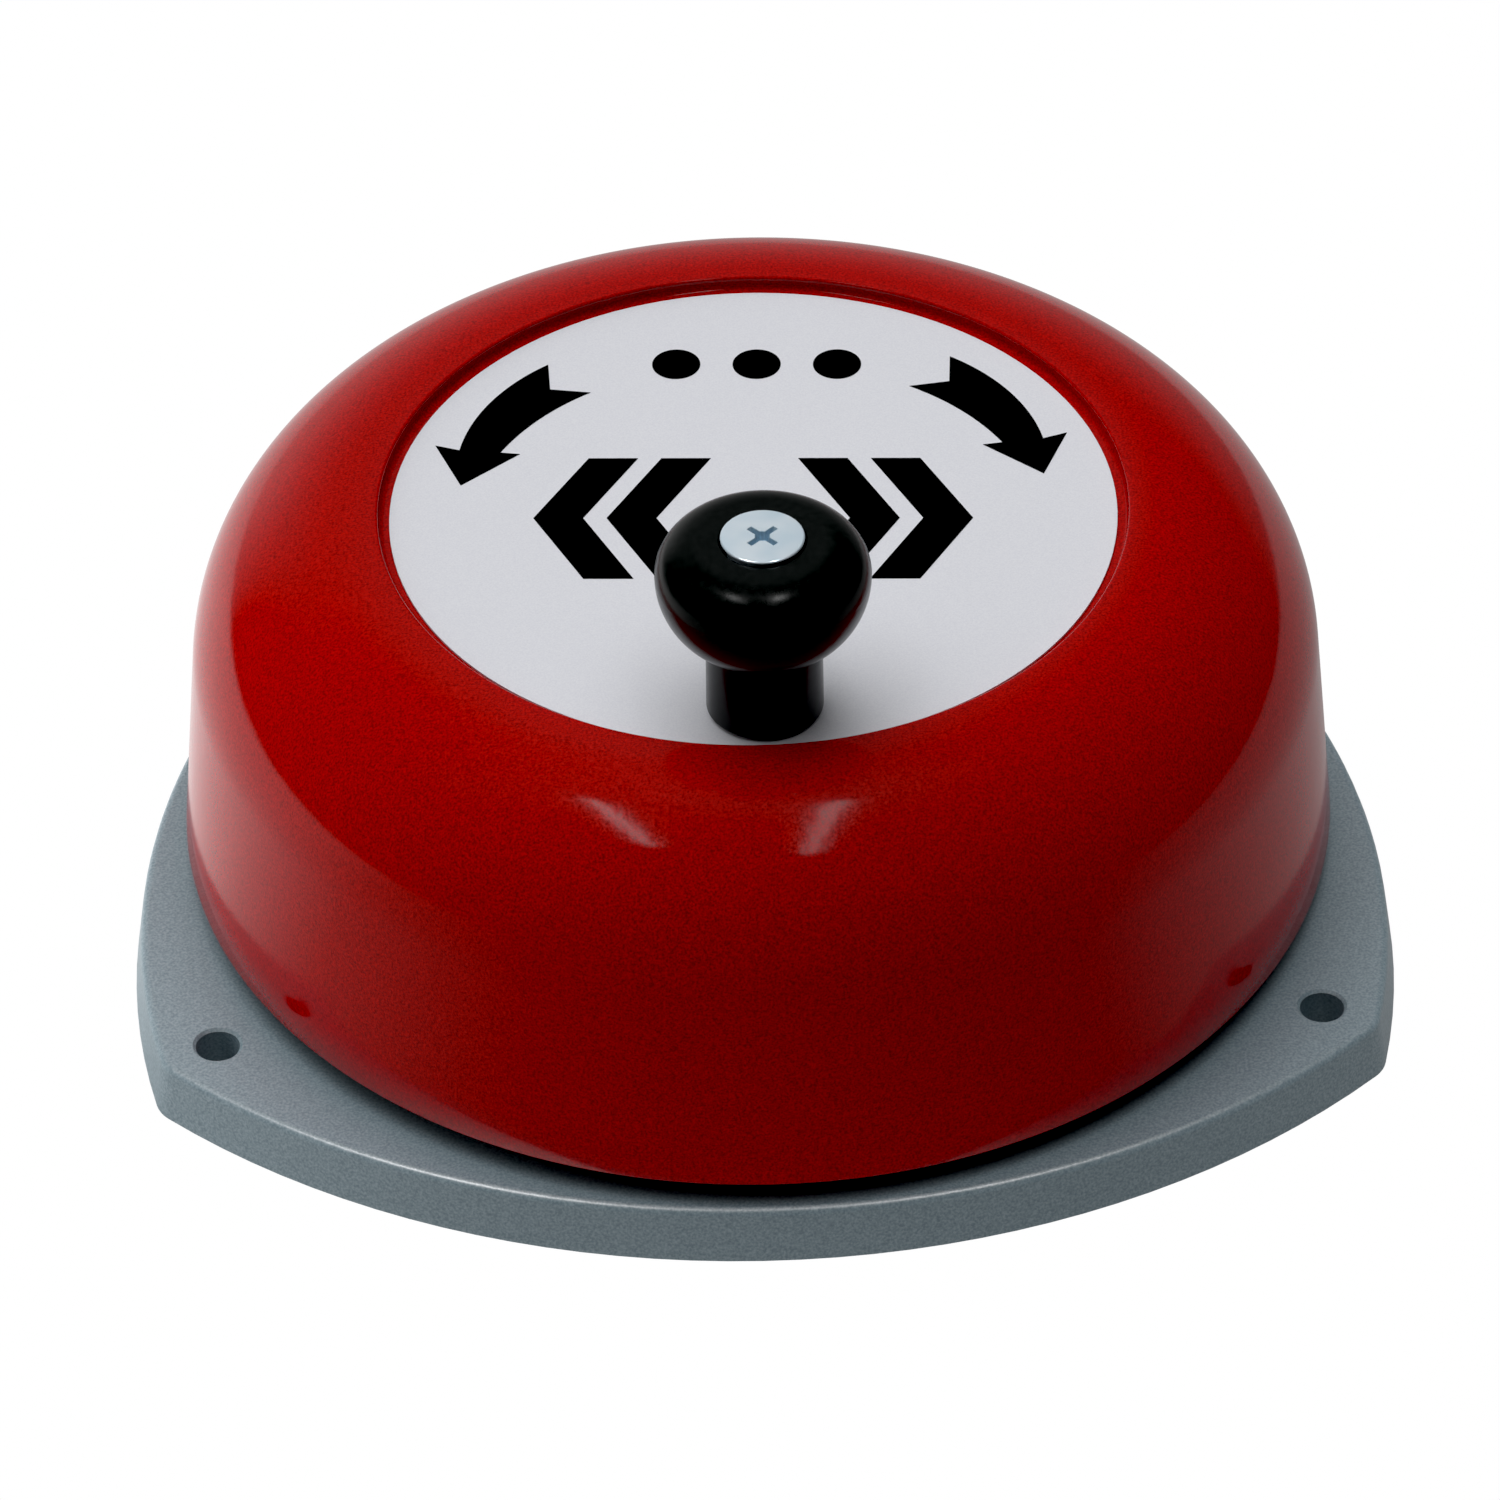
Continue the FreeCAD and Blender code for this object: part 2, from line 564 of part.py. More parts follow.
def shaft_corners(radius, low, high, groove, d):
    """The profile of a solid pin with chamfered ends and a groove for a retaining ring."""
    return [
        (0, low),
        (radius - d.end_chamfer, low),
        (radius, low + d.end_chamfer),
        (radius, groove - d.clip_gap),
        (radius - d.clip_depth, groove - d.clip_gap),
        (radius - d.clip_depth, groove + d.clip_thickness + d.clip_gap),
        (radius, groove + d.clip_thickness + d.clip_gap),
        (radius, high - d.end_chamfer),
        (radius - d.end_chamfer, high),
        (0, high)]


def make_spindle(doc, d):
    """The spindle that the gong turns on, with a washer and a retaining ring below."""
    corners = shaft_corners(
        d.spindle_radius, d.spindle_rise, d.gong_underside - d.thrust_gap, d.spindle_clip_level, d)
    body = turned(doc, "spindle", corners)
    cross_hole(body, d)
    inner = d.spindle_radius + d.running_gap
    washer = turned_ring(doc, "spindle_washer", inner, inner + d.washer_reach, d.washer_thickness)
    place(washer, z=d.spindle_washer_level)
    place(retaining_ring(doc, "spindle_circlip", d.spindle_radius, d), z=d.spindle_clip_level)


def cross_hole(body, d):
    """The hole for the cross pin, along X."""
    sketch = new_sketch(body, "YZ_Plane", "cross_hole")
    circle(sketch, 0, d.hub_bottom + d.hub_pin_rise, d.hub_pin_radius + d.fixed_gap)
    pocket(body, sketch)


def retaining_ring(doc, label, shaft_radius, d):
    """An open ring that snaps into a groove."""
    body = new_body(doc, label)
    ring = new_sketch(body, "XY_Plane", "ring")
    circle(ring, 0, 0, shaft_radius + d.clip_reach)
    circle(ring, 0, 0, shaft_radius - d.clip_depth + d.fixed_gap)
    pad(body, ring, d.clip_thickness)
    mouth = new_sketch(body, "XY_Plane", "mouth")
    half = d.clip_opening / 2
    far = -(shaft_radius + d.clip_reach * 2)
    outline(mouth, [(half, 0), (-half, 0), (-half, far), (half, far)])
    pocket(body, mouth)
    return body


def make_hub(doc, d):
    """The hub that joins gong, drive gear and spindle, and the cross pin that locks it."""
    bore = d.spindle_radius + d.fixed_gap
    hub = turned(doc, "hub", [
        (bore, d.hub_bottom),
        (d.hub_spigot_radius, d.hub_bottom),
        (d.hub_spigot_radius, d.gear_top),
        (d.hub_body_radius, d.gear_top),
        (d.hub_body_radius, d.hub_flange_level),
        (d.hub_flange_radius, d.hub_flange_level),
        (d.hub_flange_radius, d.gong_underside),
        (bore, d.gong_underside)])
    cross_hole(hub, d)
    hole_round(hub, "rivet_holes", d.hub_rivet_circle, d.hub_rivet_radius + d.fixed_gap,
               d.hub_rivet_count)
    threads = new_sketch(hub, "XY_Plane", "screw_holes", d.gear_top)
    circle(threads, 0, d.gear_screw_circle, d.gear_screw_radius + d.fixed_gap)
    depth = d.gear_screw_length - d.gear_thickness + d.end_chamfer
    repeat_round(hub, [pocket(hub, threads, depth, upwards=True)], d.gear_screw_count)
    pin = doc.addObject("Part::Cylinder", "hub_pin")
    pin.setExpression("Radius", formula(d.hub_pin_radius))
    pin.setExpression("Height", formula(d.hub_spigot_radius * 2 - d.end_chamfer))
    place(pin, x=d.end_chamfer / 2 - d.hub_spigot_radius, z=d.hub_bottom + d.hub_pin_rise,
          axis=(0, 1, 0), turn=90)
    head = d.hub_rivet_radius + d.rivet_head_reach
    low = d.hub_flange_level - d.rivet_head
    turned_group(doc, "hub_rivets", d.hub_rivet_circle, [
        (0, low),
        (d.hub_rivet_radius, low),
        (head, d.hub_flange_level, d.rivet_head_round),
        (d.hub_rivet_radius, d.hub_flange_level),
        (d.hub_rivet_radius, d.recess_floor),
        (0, d.recess_floor)], d.hub_rivet_count)


def make_gong(doc, d):
    """The pressed gong: a leaning side, a round shoulder, a rolled lip and a sunk top."""
    inner_shoulder = d.shoulder_radius - d.gong_wall
    side_inset = d.gong_wall / cosine(d.gong_lean)
    under_round = d.recess_round + d.lip_roll
    lean_in, lean_up = cosine(d.gong_lean), sine(d.gong_lean)
    gong = turned(doc, "gong", [
        (0, d.gong_underside),
        (d.recess_radius - d.recess_round, d.gong_underside),
        (d.crest_radius, d.gong_underside + under_round, under_round),
        (d.crest_radius, d.crest_level - d.gong_wall),
        (d.crest_radius + inner_shoulder * lean_in,
         d.shoulder_centre + inner_shoulder * lean_up, -inner_shoulder),
        (d.gong_radius - side_inset, d.rim_level),
        (d.gong_radius, d.rim_level),
        (d.crest_radius + d.shoulder_radius * lean_in, d.side_top),
        (d.crest_radius, d.crest_level, d.shoulder_radius),
        (d.recess_radius, d.crest_level - d.lip_roll, d.lip_roll),
        (d.recess_radius, d.recess_floor + d.recess_round),
        (d.recess_radius - d.recess_round, d.recess_floor, -d.recess_round),
        (0, d.recess_floor)])
    hole_round(gong, "rivet_holes", d.hub_rivet_circle, d.hub_rivet_radius + d.fixed_gap,
               d.hub_rivet_count)
    knob_hole(gong, d)
    face_plate = new_body(doc, "face_plate")
    disc = new_sketch(face_plate, "XY_Plane", "disc")
    circle(disc, 0, 0, d.recess_radius - d.recess_round - d.face_plate_gap)
    pad(face_plate, disc, d.face_plate_thickness)
    knob_hole(face_plate, d)
    place(face_plate, z=d.recess_floor)


def knob_hole(body, d):
    """The hole for the knob's screw."""
    sketch = new_sketch(body, "XY_Plane", "knob_hole")
    circle(sketch, 0, -d.knob_circle, d.knob_screw_radius + d.fixed_gap)
    pocket(body, sketch)


def involute_gear(module, teeth, pressure_angle, root_depth, thinning, first_tooth):
    """The face of a spur gear: each flank is an arc through three points of its involute."""
    pitch = module * teeth / 2
    base = pitch * math.cos(pressure_angle)
    tip = pitch + module
    foot = pitch - root_depth * module
    start = max(base, foot)

    def half_width(radius):
        """Half the angle that a tooth fills at a radius."""
        roll = math.acos(min(1.0, base / radius))
        involute = math.tan(roll) - roll
        at_pitch = math.tan(pressure_angle) - pressure_angle
        return (math.pi / 2 * module - thinning / 2) / 2 / pitch + at_pitch - involute

    def point(radius, angle):
        return FreeCAD.Vector(radius * math.cos(angle), radius * math.sin(angle), 0)

    edges = []
    pitch_angle = 2 * math.pi / teeth
    for tooth in range(round(teeth)):
        middle = first_tooth + tooth * pitch_angle
        low, mid, high = (half_width(radius) for radius in (start, (start + tip) / 2, tip))
        rising = [point(start, middle - low), point((start + tip) / 2, middle - mid),
                  point(tip, middle - high)]
        falling = [point(tip, middle + high), point((start + tip) / 2, middle + mid),
                   point(start, middle + low)]
        foot_in, foot_out = point(foot, middle - low), point(foot, middle + low)
        next_foot = point(foot, middle + pitch_angle - low)
        if start > foot:
            edges.append(Part.LineSegment(foot_in, rising[0]))
        edges.append(Part.Arc(*rising))
        edges.append(Part.Arc(rising[2], point(tip, middle), falling[0]))
        edges.append(Part.Arc(*falling))
        if start > foot:
            edges.append(Part.LineSegment(falling[2], foot_out))
        edges.append(Part.Arc(foot_out, point(foot, middle + pitch_angle / 2), next_foot))
    return Part.Face(Part.Wire([edge.toShape() for edge in edges]))


def drill(shape, radius, spots, depth):
    """Drills holes along Z from height 0 up."""
    for x, y in spots:
        shape = shape.cut(Part.makeCylinder(radius, depth, FreeCAD.Vector(x, y, 0)))
    return shape


def round_spots(radius, count, start):
    """Places spaced round the axis from an angle on."""
    angles = [start + 2 * math.pi * index / count for index in range(round(count))]
    return [(radius * math.cos(angle), radius * math.sin(angle)) for angle in angles]


def make_gears(doc, d):
    """The drive gear under the hub and the pinion on the rotor, in mesh on the +Y side: a
    tooth of the gear points at a gap of the pinion."""
    n = {name: number(size) for name, size in vars(d).items()}
    angle = math.radians(n["pressure_angle"])
    gear = doc.addObject("Part::Feature", "drive_gear")
    toothed = involute_gear(n["gear_module"], n["gear_teeth"], angle, n["root_depth"],
                            n["tooth_thinning"], math.pi / 2)
    thickness = n["gear_thickness"]
    shape = toothed.extrude(FreeCAD.Vector(0, 0, thickness))
    shape = drill(shape, n["hub_spigot_radius"] + n["fixed_gap"], [(0, 0)], thickness)
    shape = drill(shape, n["gear_screw_radius"] + n["fixed_gap"],
                  round_spots(n["gear_screw_circle"], n["gear_screw_count"], math.pi / 2),
                  thickness)
    shape = drill(shape, n["gear_window_radius"],
                  round_spots(n["gear_window_circle"], n["gear_window_count"],
                              math.pi / n["gear_window_count"]), thickness)
    gear.Shape = shape
    place(gear, z=d.gear_bottom)
    pinion = doc.addObject("Part::Feature", "pinion")
    first = 3 * math.pi / 2 + math.pi / n["pinion_teeth"]
    toothed = involute_gear(n["gear_module"], n["pinion_teeth"], angle, n["root_depth"],
                            n["tooth_thinning"], first)
    collar = n["pinion_collar"]
    shape = toothed.extrude(FreeCAD.Vector(0, 0, n["pinion_thickness"]))
    shape.translate(FreeCAD.Vector(0, 0, collar))
    shape = shape.fuse(Part.makeCylinder(n["pinion_collar_radius"], collar))
    shape = drill(shape, n["sleeve_radius"] + n["fixed_gap"], [(0, 0)],
                  collar + n["pinion_thickness"])
    side_hole = Part.makeCylinder(n["set_screw_radius"] + n["fixed_gap"],
                                  n["pinion_collar_radius"] * 2,
                                  FreeCAD.Vector(0, 0, collar / 2), FreeCAD.Vector(0, 1, 0))
    pinion.Shape = shape.cut(side_hole).removeSplitter()
    place(pinion, y=d.rotor_centre, z=d.pinion_bottom - d.pinion_collar)
    screw = doc.addObject("Part::Cylinder", "pinion_set_screw")
    inner = d.sleeve_radius + d.fixed_gap
    screw.setExpression("Radius", formula(d.set_screw_radius))
    screw.setExpression("Height", formula(d.pinion_collar_radius - inner))
    place(screw, y=d.rotor_centre + inner, z=d.pinion_bottom - d.pinion_collar / 2,
          axis=(1, 0, 0), turn=-90)
    bottom = d.gear_bottom - d.gear_screw_head
    head = d.gear_screw_radius + d.screw_head_reach
    turned_group(doc, "gear_screws", d.gear_screw_circle, [
        (0, bottom),
        (head - d.end_chamfer, bottom),
        (head, bottom + d.end_chamfer),
        (head, d.gear_bottom),
        (d.gear_screw_radius, d.gear_bottom),
        (d.gear_screw_radius, d.gear_bottom + d.gear_screw_length),
        (0, d.gear_bottom + d.gear_screw_length)], d.gear_screw_count)


def hex_nut(doc, label, bore, reach, height):
    """A plain six-sided nut."""
    body = doc.addObject("Part::Prism", f"{label}_blank")
    body.Polygon = 6
    body.setExpression("Circumradius", formula(reach))
    body.setExpression("Height", formula(height))
    hole = doc.addObject("Part::Cylinder", f"{label}_bore")
    hole.setExpression("Radius", formula(bore))
    hole.setExpression("Height", formula(height))
    nut = doc.addObject("Part::Cut", label)
    nut.Base = body
    nut.Tool = hole
    return nut


def make_stud(doc, d):
    """The fixed stud of the rotor, with its nut and washer under the base and the washer and
    retaining ring that keep the rotor on it."""
    nut_top = d.web_underside - d.washer_thickness
    low = nut_top - d.stud_nut_height - d.thread_end / 2
    collar_top = d.stud_boss_top + d.stud_collar
    ring_top = d.rotor_clip_level + d.clip_thickness + d.clip_gap
    bearing = shaft_corners(d.stud_radius, low, ring_top + d.stud_end, d.rotor_clip_level, d)
    stud = turned(doc, "rotor_stud", [
        (0, low),
        (d.stud_thread_radius - d.end_chamfer, low),
        (d.stud_thread_radius, low + d.end_chamfer),
        (d.stud_thread_radius, d.stud_boss_top),
        (d.stud_collar_radius, d.stud_boss_top),
        (d.stud_collar_radius, collar_top),
        (d.stud_radius, collar_top)] + bearing[3:])
    place(stud, y=d.rotor_centre)
    bore = d.stud_thread_radius + d.fixed_gap
    washer = turned_ring(doc, "rotor_stud_washer", bore, bore + d.washer_reach,
                         d.washer_thickness)
    place(washer, y=d.rotor_centre, z=nut_top)
    nut = hex_nut(doc, "rotor_stud_nut", bore, d.stud_thread_radius + d.nut_reach,
                  d.stud_nut_height)
    place(nut, y=d.rotor_centre, z=nut_top - d.stud_nut_height)
    inner = d.stud_radius + d.running_gap
    washer = turned_ring(doc, "rotor_washer", inner, inner + d.washer_reach, d.washer_thickness)
    place(washer, y=d.rotor_centre, z=d.rotor_washer_level)
    place(retaining_ring(doc, "rotor_circlip", d.stud_radius, d),
          y=d.rotor_centre, z=d.rotor_clip_level)


def make_rotor(doc, d):
    """The rotor: a flanged bronze sleeve, the arm riveted on its flange and the hammer pins."""
    bore = d.stud_radius + d.running_gap
    flange_bottom = d.sleeve_bottom + d.sleeve_foot
    sleeve = turned(doc, "rotor_sleeve", [
        (bore, d.sleeve_bottom),
        (d.sleeve_radius, d.sleeve_bottom),
        (d.sleeve_radius, flange_bottom),
        (d.sleeve_flange_radius, flange_bottom),
        (d.sleeve_flange_radius, d.arm_bottom),
        (d.sleeve_radius, d.arm_bottom),
        (d.sleeve_radius, d.sleeve_top),
        (bore, d.sleeve_top)])
    hole_round(sleeve, "rivet_holes", d.arm_rivet_circle, d.arm_rivet_radius + d.fixed_gap,
               HAMMERS)
    place(sleeve, y=d.rotor_centre)
    arm = new_body(doc, "rotor_arm")
    plan = new_sketch(arm, "XY_Plane", "plan")
    # The straight edges touch the round middle and the lobes: their normal leans by this much
    leaning = (d.sleeve_flange_radius - d.arm_lobe_radius) / d.hammer_circle
    upright = root(1 - leaning * leaning)
    hub_x, hub_y = d.sleeve_flange_radius * leaning, d.sleeve_flange_radius * upright
    lobe_x = d.hammer_circle + d.arm_lobe_radius * leaning
    lobe_y = d.arm_lobe_radius * upright
    outline(plan, [
        (hub_x, -hub_y, d.sleeve_flange_radius),
        (lobe_x, -lobe_y),
        (lobe_x, lobe_y, d.arm_lobe_radius),
        (hub_x, hub_y),
        (-hub_x, hub_y, d.sleeve_flange_radius),
        (-lobe_x, lobe_y),
        (-lobe_x, -lobe_y, d.arm_lobe_radius),
        (-hub_x, -hub_y)])
    circle(plan, 0, 0, d.sleeve_radius + d.fixed_gap)
    pad(arm, plan, d.arm_thickness)
    hole_round(arm, "rivet_holes", d.arm_rivet_circle, d.arm_rivet_radius + d.fixed_gap,
               HAMMERS)
    pins = new_sketch(arm, "XY_Plane", "pin_holes")
    circle(pins, d.hammer_circle, 0, d.hammer_pin_radius + d.fixed_gap)
    repeat_round(arm, [pocket(arm, pins)], HAMMERS)
    place(arm, y=d.rotor_centre, z=d.arm_bottom)
    low = flange_bottom - d.rivet_head / 2
    high = d.arm_top + d.rivet_head / 2
    wide = d.arm_rivet_radius + d.rivet_head_reach / 2
    rivets = turned_group(doc, "arm_rivets", d.arm_rivet_circle, [
        (0, low), (wide, low), (wide, flange_bottom), (d.arm_rivet_radius, flange_bottom),
        (d.arm_rivet_radius, d.arm_top), (wide, d.arm_top), (wide, high), (0, high)], HAMMERS)
    place(rivets, y=d.rotor_centre, turn=90)
    head_bottom = d.arm_bottom - d.hammer_pin_head
    head = d.hammer_pin_radius + d.hammer_pin_head_reach
    ring_bottom = d.link_top + d.thrust_gap
    top = ring_bottom + d.washer_thickness + d.hammer_pin_end
    pins = turned_group(doc, "hammer_pins", d.hammer_circle, [
        (0, head_bottom),
        (head, head_bottom),
        (head, d.arm_bottom),
        (d.hammer_pin_radius, d.arm_bottom),
        (d.hammer_pin_radius, top - d.end_chamfer),
        (d.hammer_pin_radius - d.end_chamfer, top),
        (0, top)], HAMMERS)
    place(pins, y=d.rotor_centre)
    inner = d.hammer_pin_radius + d.fixed_gap
    outer = inner + d.rivet_head_reach
    rings = new_body(doc, "hammer_clips")
    spot = new_sketch(rings, "XY_Plane", "ring")
    circle(spot, d.hammer_circle, 0, inner)
    circle(spot, d.hammer_circle, 0, outer)
    repeat_round(rings, [pad(rings, spot, d.washer_thickness)], HAMMERS)
    place(rings, y=d.rotor_centre, z=ring_bottom)


def make_hammer(doc, d, label, side, turn):
    """A hammer: a link with an eye at the pin and a round head at its far end."""
    body = new_body(doc, label)
    head = new_sketch(body, "XY_Plane", "head", -d.hammer_head_drop)
    circle(head, d.hammer_length, 0, d.hammer_head_radius)
    block = pad(body, head, d.hammer_head_drop + d.hammer_link)
    doc.recompute()
    ends = edges_where(block, lambda edge, middle: isinstance(edge.Curve, Part.Circle))
    dress(body, "Chamfer", block, ends, d.hammer_edge)
    link = new_sketch(body, "XY_Plane", "link")
    half = d.hammer_link_width / 2
    eye_x = root(d.hammer_eye_radius * d.hammer_eye_radius - half * half)
    outline(link, [
        (d.hammer_length, half),
        (eye_x, half),
        (eye_x, -half, d.hammer_eye_radius),
        (d.hammer_length, -half)])
    pad(body, link, d.hammer_link)
    eye = new_sketch(body, "XY_Plane", "eye")
    circle(eye, 0, 0, d.hammer_pin_radius + d.running_gap)
    pocket(body, eye)
    place(body, x=d.hammer_circle * side, y=d.rotor_centre, z=d.link_bottom, turn=turn)


def make_knob(doc, d):
    """The knob: a squat ball with a flat top on a straight neck, bored for its sleeve and
    screw head. Its two arcs meet upright at its widest."""
    foot = d.knob_washer_thickness + d.thrust_gap
    neck_reach = d.knob_neck_radius - d.knob_ball_radius + d.knob_under_round
    neck_top = d.knob_ball_rise - root(d.knob_under_round * d.knob_under_round
                                       - neck_reach * neck_reach)
    top_round = d.knob_top_rise - d.knob_ball_rise
    seat = d.knob_head_seat - d.face_level - d.thrust_gap
    bore = d.knob_sleeve_radius + d.running_gap
    mouth = d.knob_head_radius + d.knob_head_gap
    knob = turned(doc, "knob", [
        (bore, foot),
        (d.knob_foot_radius - d.knob_foot_round, foot),
        (d.knob_foot_radius, foot + d.knob_foot_round, d.knob_foot_round),
        (d.knob_neck_radius, neck_top),
        (d.knob_ball_radius, d.knob_ball_rise, d.knob_under_round),
        (d.knob_ball_radius - top_round, d.knob_top_rise, top_round),
        (mouth, d.knob_top_rise),
        (mouth, seat),
        (bore, seat)])
    place(knob, y=-d.knob_circle, z=d.face_level)
    inner_bore = d.knob_screw_radius + d.running_gap
    sleeve = turned_ring(doc, "knob_sleeve", inner_bore, d.knob_sleeve_radius,
                         d.knob_head_seat - d.face_level)
    place(sleeve, y=-d.knob_circle, z=d.face_level)
    hole = d.knob_sleeve_radius + d.running_gap
    washer = turned_ring(doc, "knob_washer", hole, hole + d.knob_washer_reach,
                         d.knob_washer_thickness)
    place(washer, y=-d.knob_circle, z=d.face_level)


def make_knob_screw(doc, d):
    """The wide-headed screw that holds the knob's sleeve, with washer and nut inside."""
    end = d.knob_nut_level - d.thread_end
    top = d.knob_head_seat + d.knob_head
    screw = turned(doc, "knob_screw", [
        (0, end),
        (d.knob_screw_radius - d.end_chamfer, end),
        (d.knob_screw_radius, end + d.end_chamfer),
        (d.knob_screw_radius, d.knob_head_seat),
        (d.knob_head_radius, d.knob_head_seat),
        (d.knob_head_radius, top - d.knob_head_round),
        (d.knob_head_radius - d.knob_head_round, top, d.knob_head_round),
        (0, top)])
    slot = new_sketch(screw, "XY_Plane", "cross", top)
    long, half = d.recess_arm_length, d.recess_arm_width / 2
    outline(slot, [
        (long, -half), (long, half), (half, half), (half, long), (-half, long), (-half, half),
        (-long, half), (-long, -half), (-half, -half), (-half, -long), (half, -long),
        (half, -half)])
    pocket(screw, slot, d.cross_depth)
    place(screw, y=-d.knob_circle, turn=45)
    bore = d.knob_screw_radius + d.fixed_gap
    washer = turned_ring(doc, "knob_lock_washer", bore, bore + d.nut_reach,
                         d.lock_washer_thickness)
    place(washer, y=-d.knob_circle, z=d.gong_underside - d.lock_washer_thickness)
    nut = hex_nut(doc, "knob_nut", bore, d.knob_screw_radius + d.nut_reach, d.knob_nut_height)
    place(nut, y=-d.knob_circle, z=d.knob_nut_level)


PIECES = [
    "base_plate", "bush_lower", "bush_upper", "rotor_stud", "rotor_stud_washer",
    "rotor_stud_nut", "rotor_washer", "rotor_circlip", "gong", "face_plate", "hub", "hub_pin",
    "hub_rivets", "spindle", "spindle_washer", "spindle_circlip", "drive_gear", "gear_screws",
    "rotor_sleeve", "rotor_arm", "arm_rivets", "hammer_pins", "hammer_clips", "pinion",
    "pinion_set_screw", "hammer_a", "hammer_b", "knob", "knob_sleeve", "knob_washer",
    "knob_screw", "knob_lock_washer", "knob_nut"]


def main():
    doc = FreeCAD.newDocument("rotary_fire_bell")
    d = make_sheet(doc)
    derive(d)
    make_base_plate(doc, d)
    make_bushes(doc, d)
    make_spindle(doc, d)
    make_hub(doc, d)
    make_gong(doc, d)
    make_gears(doc, d)
    make_stud(doc, d)
    make_rotor(doc, d)
    make_hammer(doc, d, "hammer_a", 1, 0)
    make_hammer(doc, d, "hammer_b", -1, 180)
    make_knob(doc, d)
    make_knob_screw(doc, d)
    doc.recompute()
    for item in doc.Objects:
        if "Invalid" in item.State or "Error" in item.State:
            raise RuntimeError(f"{item.Name} failed: {item.State}")
    os.makedirs("parts", exist_ok=True)
    for name in PIECES:
        shape = doc.getObject(name).Shape
        if shape.isNull() or not shape.isValid() or not shape.Solids:
            raise RuntimeError(f"{name} has no valid solid")
        shape.exportStep(f"parts/{name}.step")
        box = shape.BoundBox
        print(f"{name}: {len(shape.Solids)} solid(s), {shape.Volume:.1f} mm3, "
              f"z {box.ZMin:.2f} to {box.ZMax:.2f}")


main()
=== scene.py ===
import math

import bpy
import numpy as np
from bpy.props import FloatProperty, FloatVectorProperty, PointerProperty
from bpy.types import Operator, Panel, PropertyGroup
from mathutils import Matrix, Vector
from mathutils.geometry import tessellate_polygon


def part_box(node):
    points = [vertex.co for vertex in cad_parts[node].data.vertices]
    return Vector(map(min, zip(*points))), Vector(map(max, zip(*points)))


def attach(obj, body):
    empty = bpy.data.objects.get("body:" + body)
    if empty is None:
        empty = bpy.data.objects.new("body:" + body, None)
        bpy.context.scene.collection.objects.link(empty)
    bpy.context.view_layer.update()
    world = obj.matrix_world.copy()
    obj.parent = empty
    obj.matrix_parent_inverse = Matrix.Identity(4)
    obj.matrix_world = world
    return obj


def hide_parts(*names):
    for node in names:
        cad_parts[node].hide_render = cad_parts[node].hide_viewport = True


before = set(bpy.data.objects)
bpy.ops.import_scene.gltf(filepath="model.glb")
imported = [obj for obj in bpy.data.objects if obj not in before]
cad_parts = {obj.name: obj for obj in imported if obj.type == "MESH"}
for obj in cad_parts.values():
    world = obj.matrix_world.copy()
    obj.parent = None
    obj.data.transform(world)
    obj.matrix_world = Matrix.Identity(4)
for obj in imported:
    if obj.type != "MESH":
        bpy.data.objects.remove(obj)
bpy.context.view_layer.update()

bl_info = {
    "name": "Rotary fire bell",
    "version": (1, 0, 0),
    "blender": (4, 5, 0),
    "location": "View3D > Sidebar > Bell",
    "description": "Dresses the rotary fire bell: enamel, casting, face print, knob and works",
    "category": "Object",
}

MM = 0.001
# The bell is three-fold: its corners and its hub's rivets stand at these degrees from +X
THIRDS = (90, 210, 330)
# Most of a noise texture's values lie between these two
NOISE_LOW, NOISE_HIGH = 0.3, 0.7
# The wave texture turns by this many radians over each unit of its scaled coordinate
WAVE_TURN = 20


def linear(code):
    """The linear colour, with alpha, of an sRGB hex value."""
    parts = [int(code[place:place + 2], 16) / 255 for place in (0, 2, 4)]
    return tuple(part / 12.92 if part <= 0.04045 else ((part + 0.055) / 1.055) ** 2.4
                 for part in parts) + (1.0,)


def add(tree, kind, links=None, **settings):
    """Adds a node: settings are its own, and links sets each named socket to a value, or joins
    it to another node's socket."""
    node = tree.nodes.new(kind)
    for key, value in settings.items():
        setattr(node, key, value)
    for socket, value in (links or {}).items():
        if isinstance(value, bpy.types.NodeSocket):
            tree.links.new(value, node.inputs[socket])
        else:
            node.inputs[socket].default_value = value
    return node


def set_stops(ramp, stops):
    """Gives a colour ramp its stops, each (place, colour)."""
    elements = ramp.color_ramp.elements
    while len(elements) > 1:
        elements.remove(elements[-1])
    elements[0].position, elements[0].color = stops[0]
    for place, colour in stops[1:]:
        elements.new(place).color = colour


def start_material(name):
    """An empty node material, with the piece's own coordinates in metres."""
    material = bpy.data.materials.new(name)
    material.use_nodes = True
    material.node_tree.nodes.clear()
    tree = material.node_tree
    return material, tree, add(tree, "ShaderNodeTexCoord").outputs["Object"]


def finish_material(tree, settings):
    """Adds the surface shader with its settings and the output."""
    shader = add(tree, "ShaderNodeBsdfPrincipled", settings)
    add(tree, "ShaderNodeOutputMaterial", {"Surface": shader.outputs["BSDF"]})


def grain(tree, spot, size, detail=2.0, roughness=0.5):
    """Noise whose lumps are about size millimetres across."""
    noise = add(tree, "ShaderNodeTexNoise",
                {"Vector": spot, "Scale": 1 / (size * MM), "Detail": detail,
                 "Roughness": roughness})
    return noise.outputs["Fac"]


def tool_marks(tree, spot, apart, distortion, detail=(2.0, 1.0), **shape):
    """The marks of a lathe tool, so many millimetres apart. Detail is its amount and scale."""
    marks = add(tree, "ShaderNodeTexWave",
                {"Vector": spot, "Scale": 2 * math.pi / (WAVE_TURN * apart * MM),
                 "Distortion": distortion, "Detail": detail[0], "Detail Scale": detail[1]},
                **shape)
    return marks.outputs["Fac"]


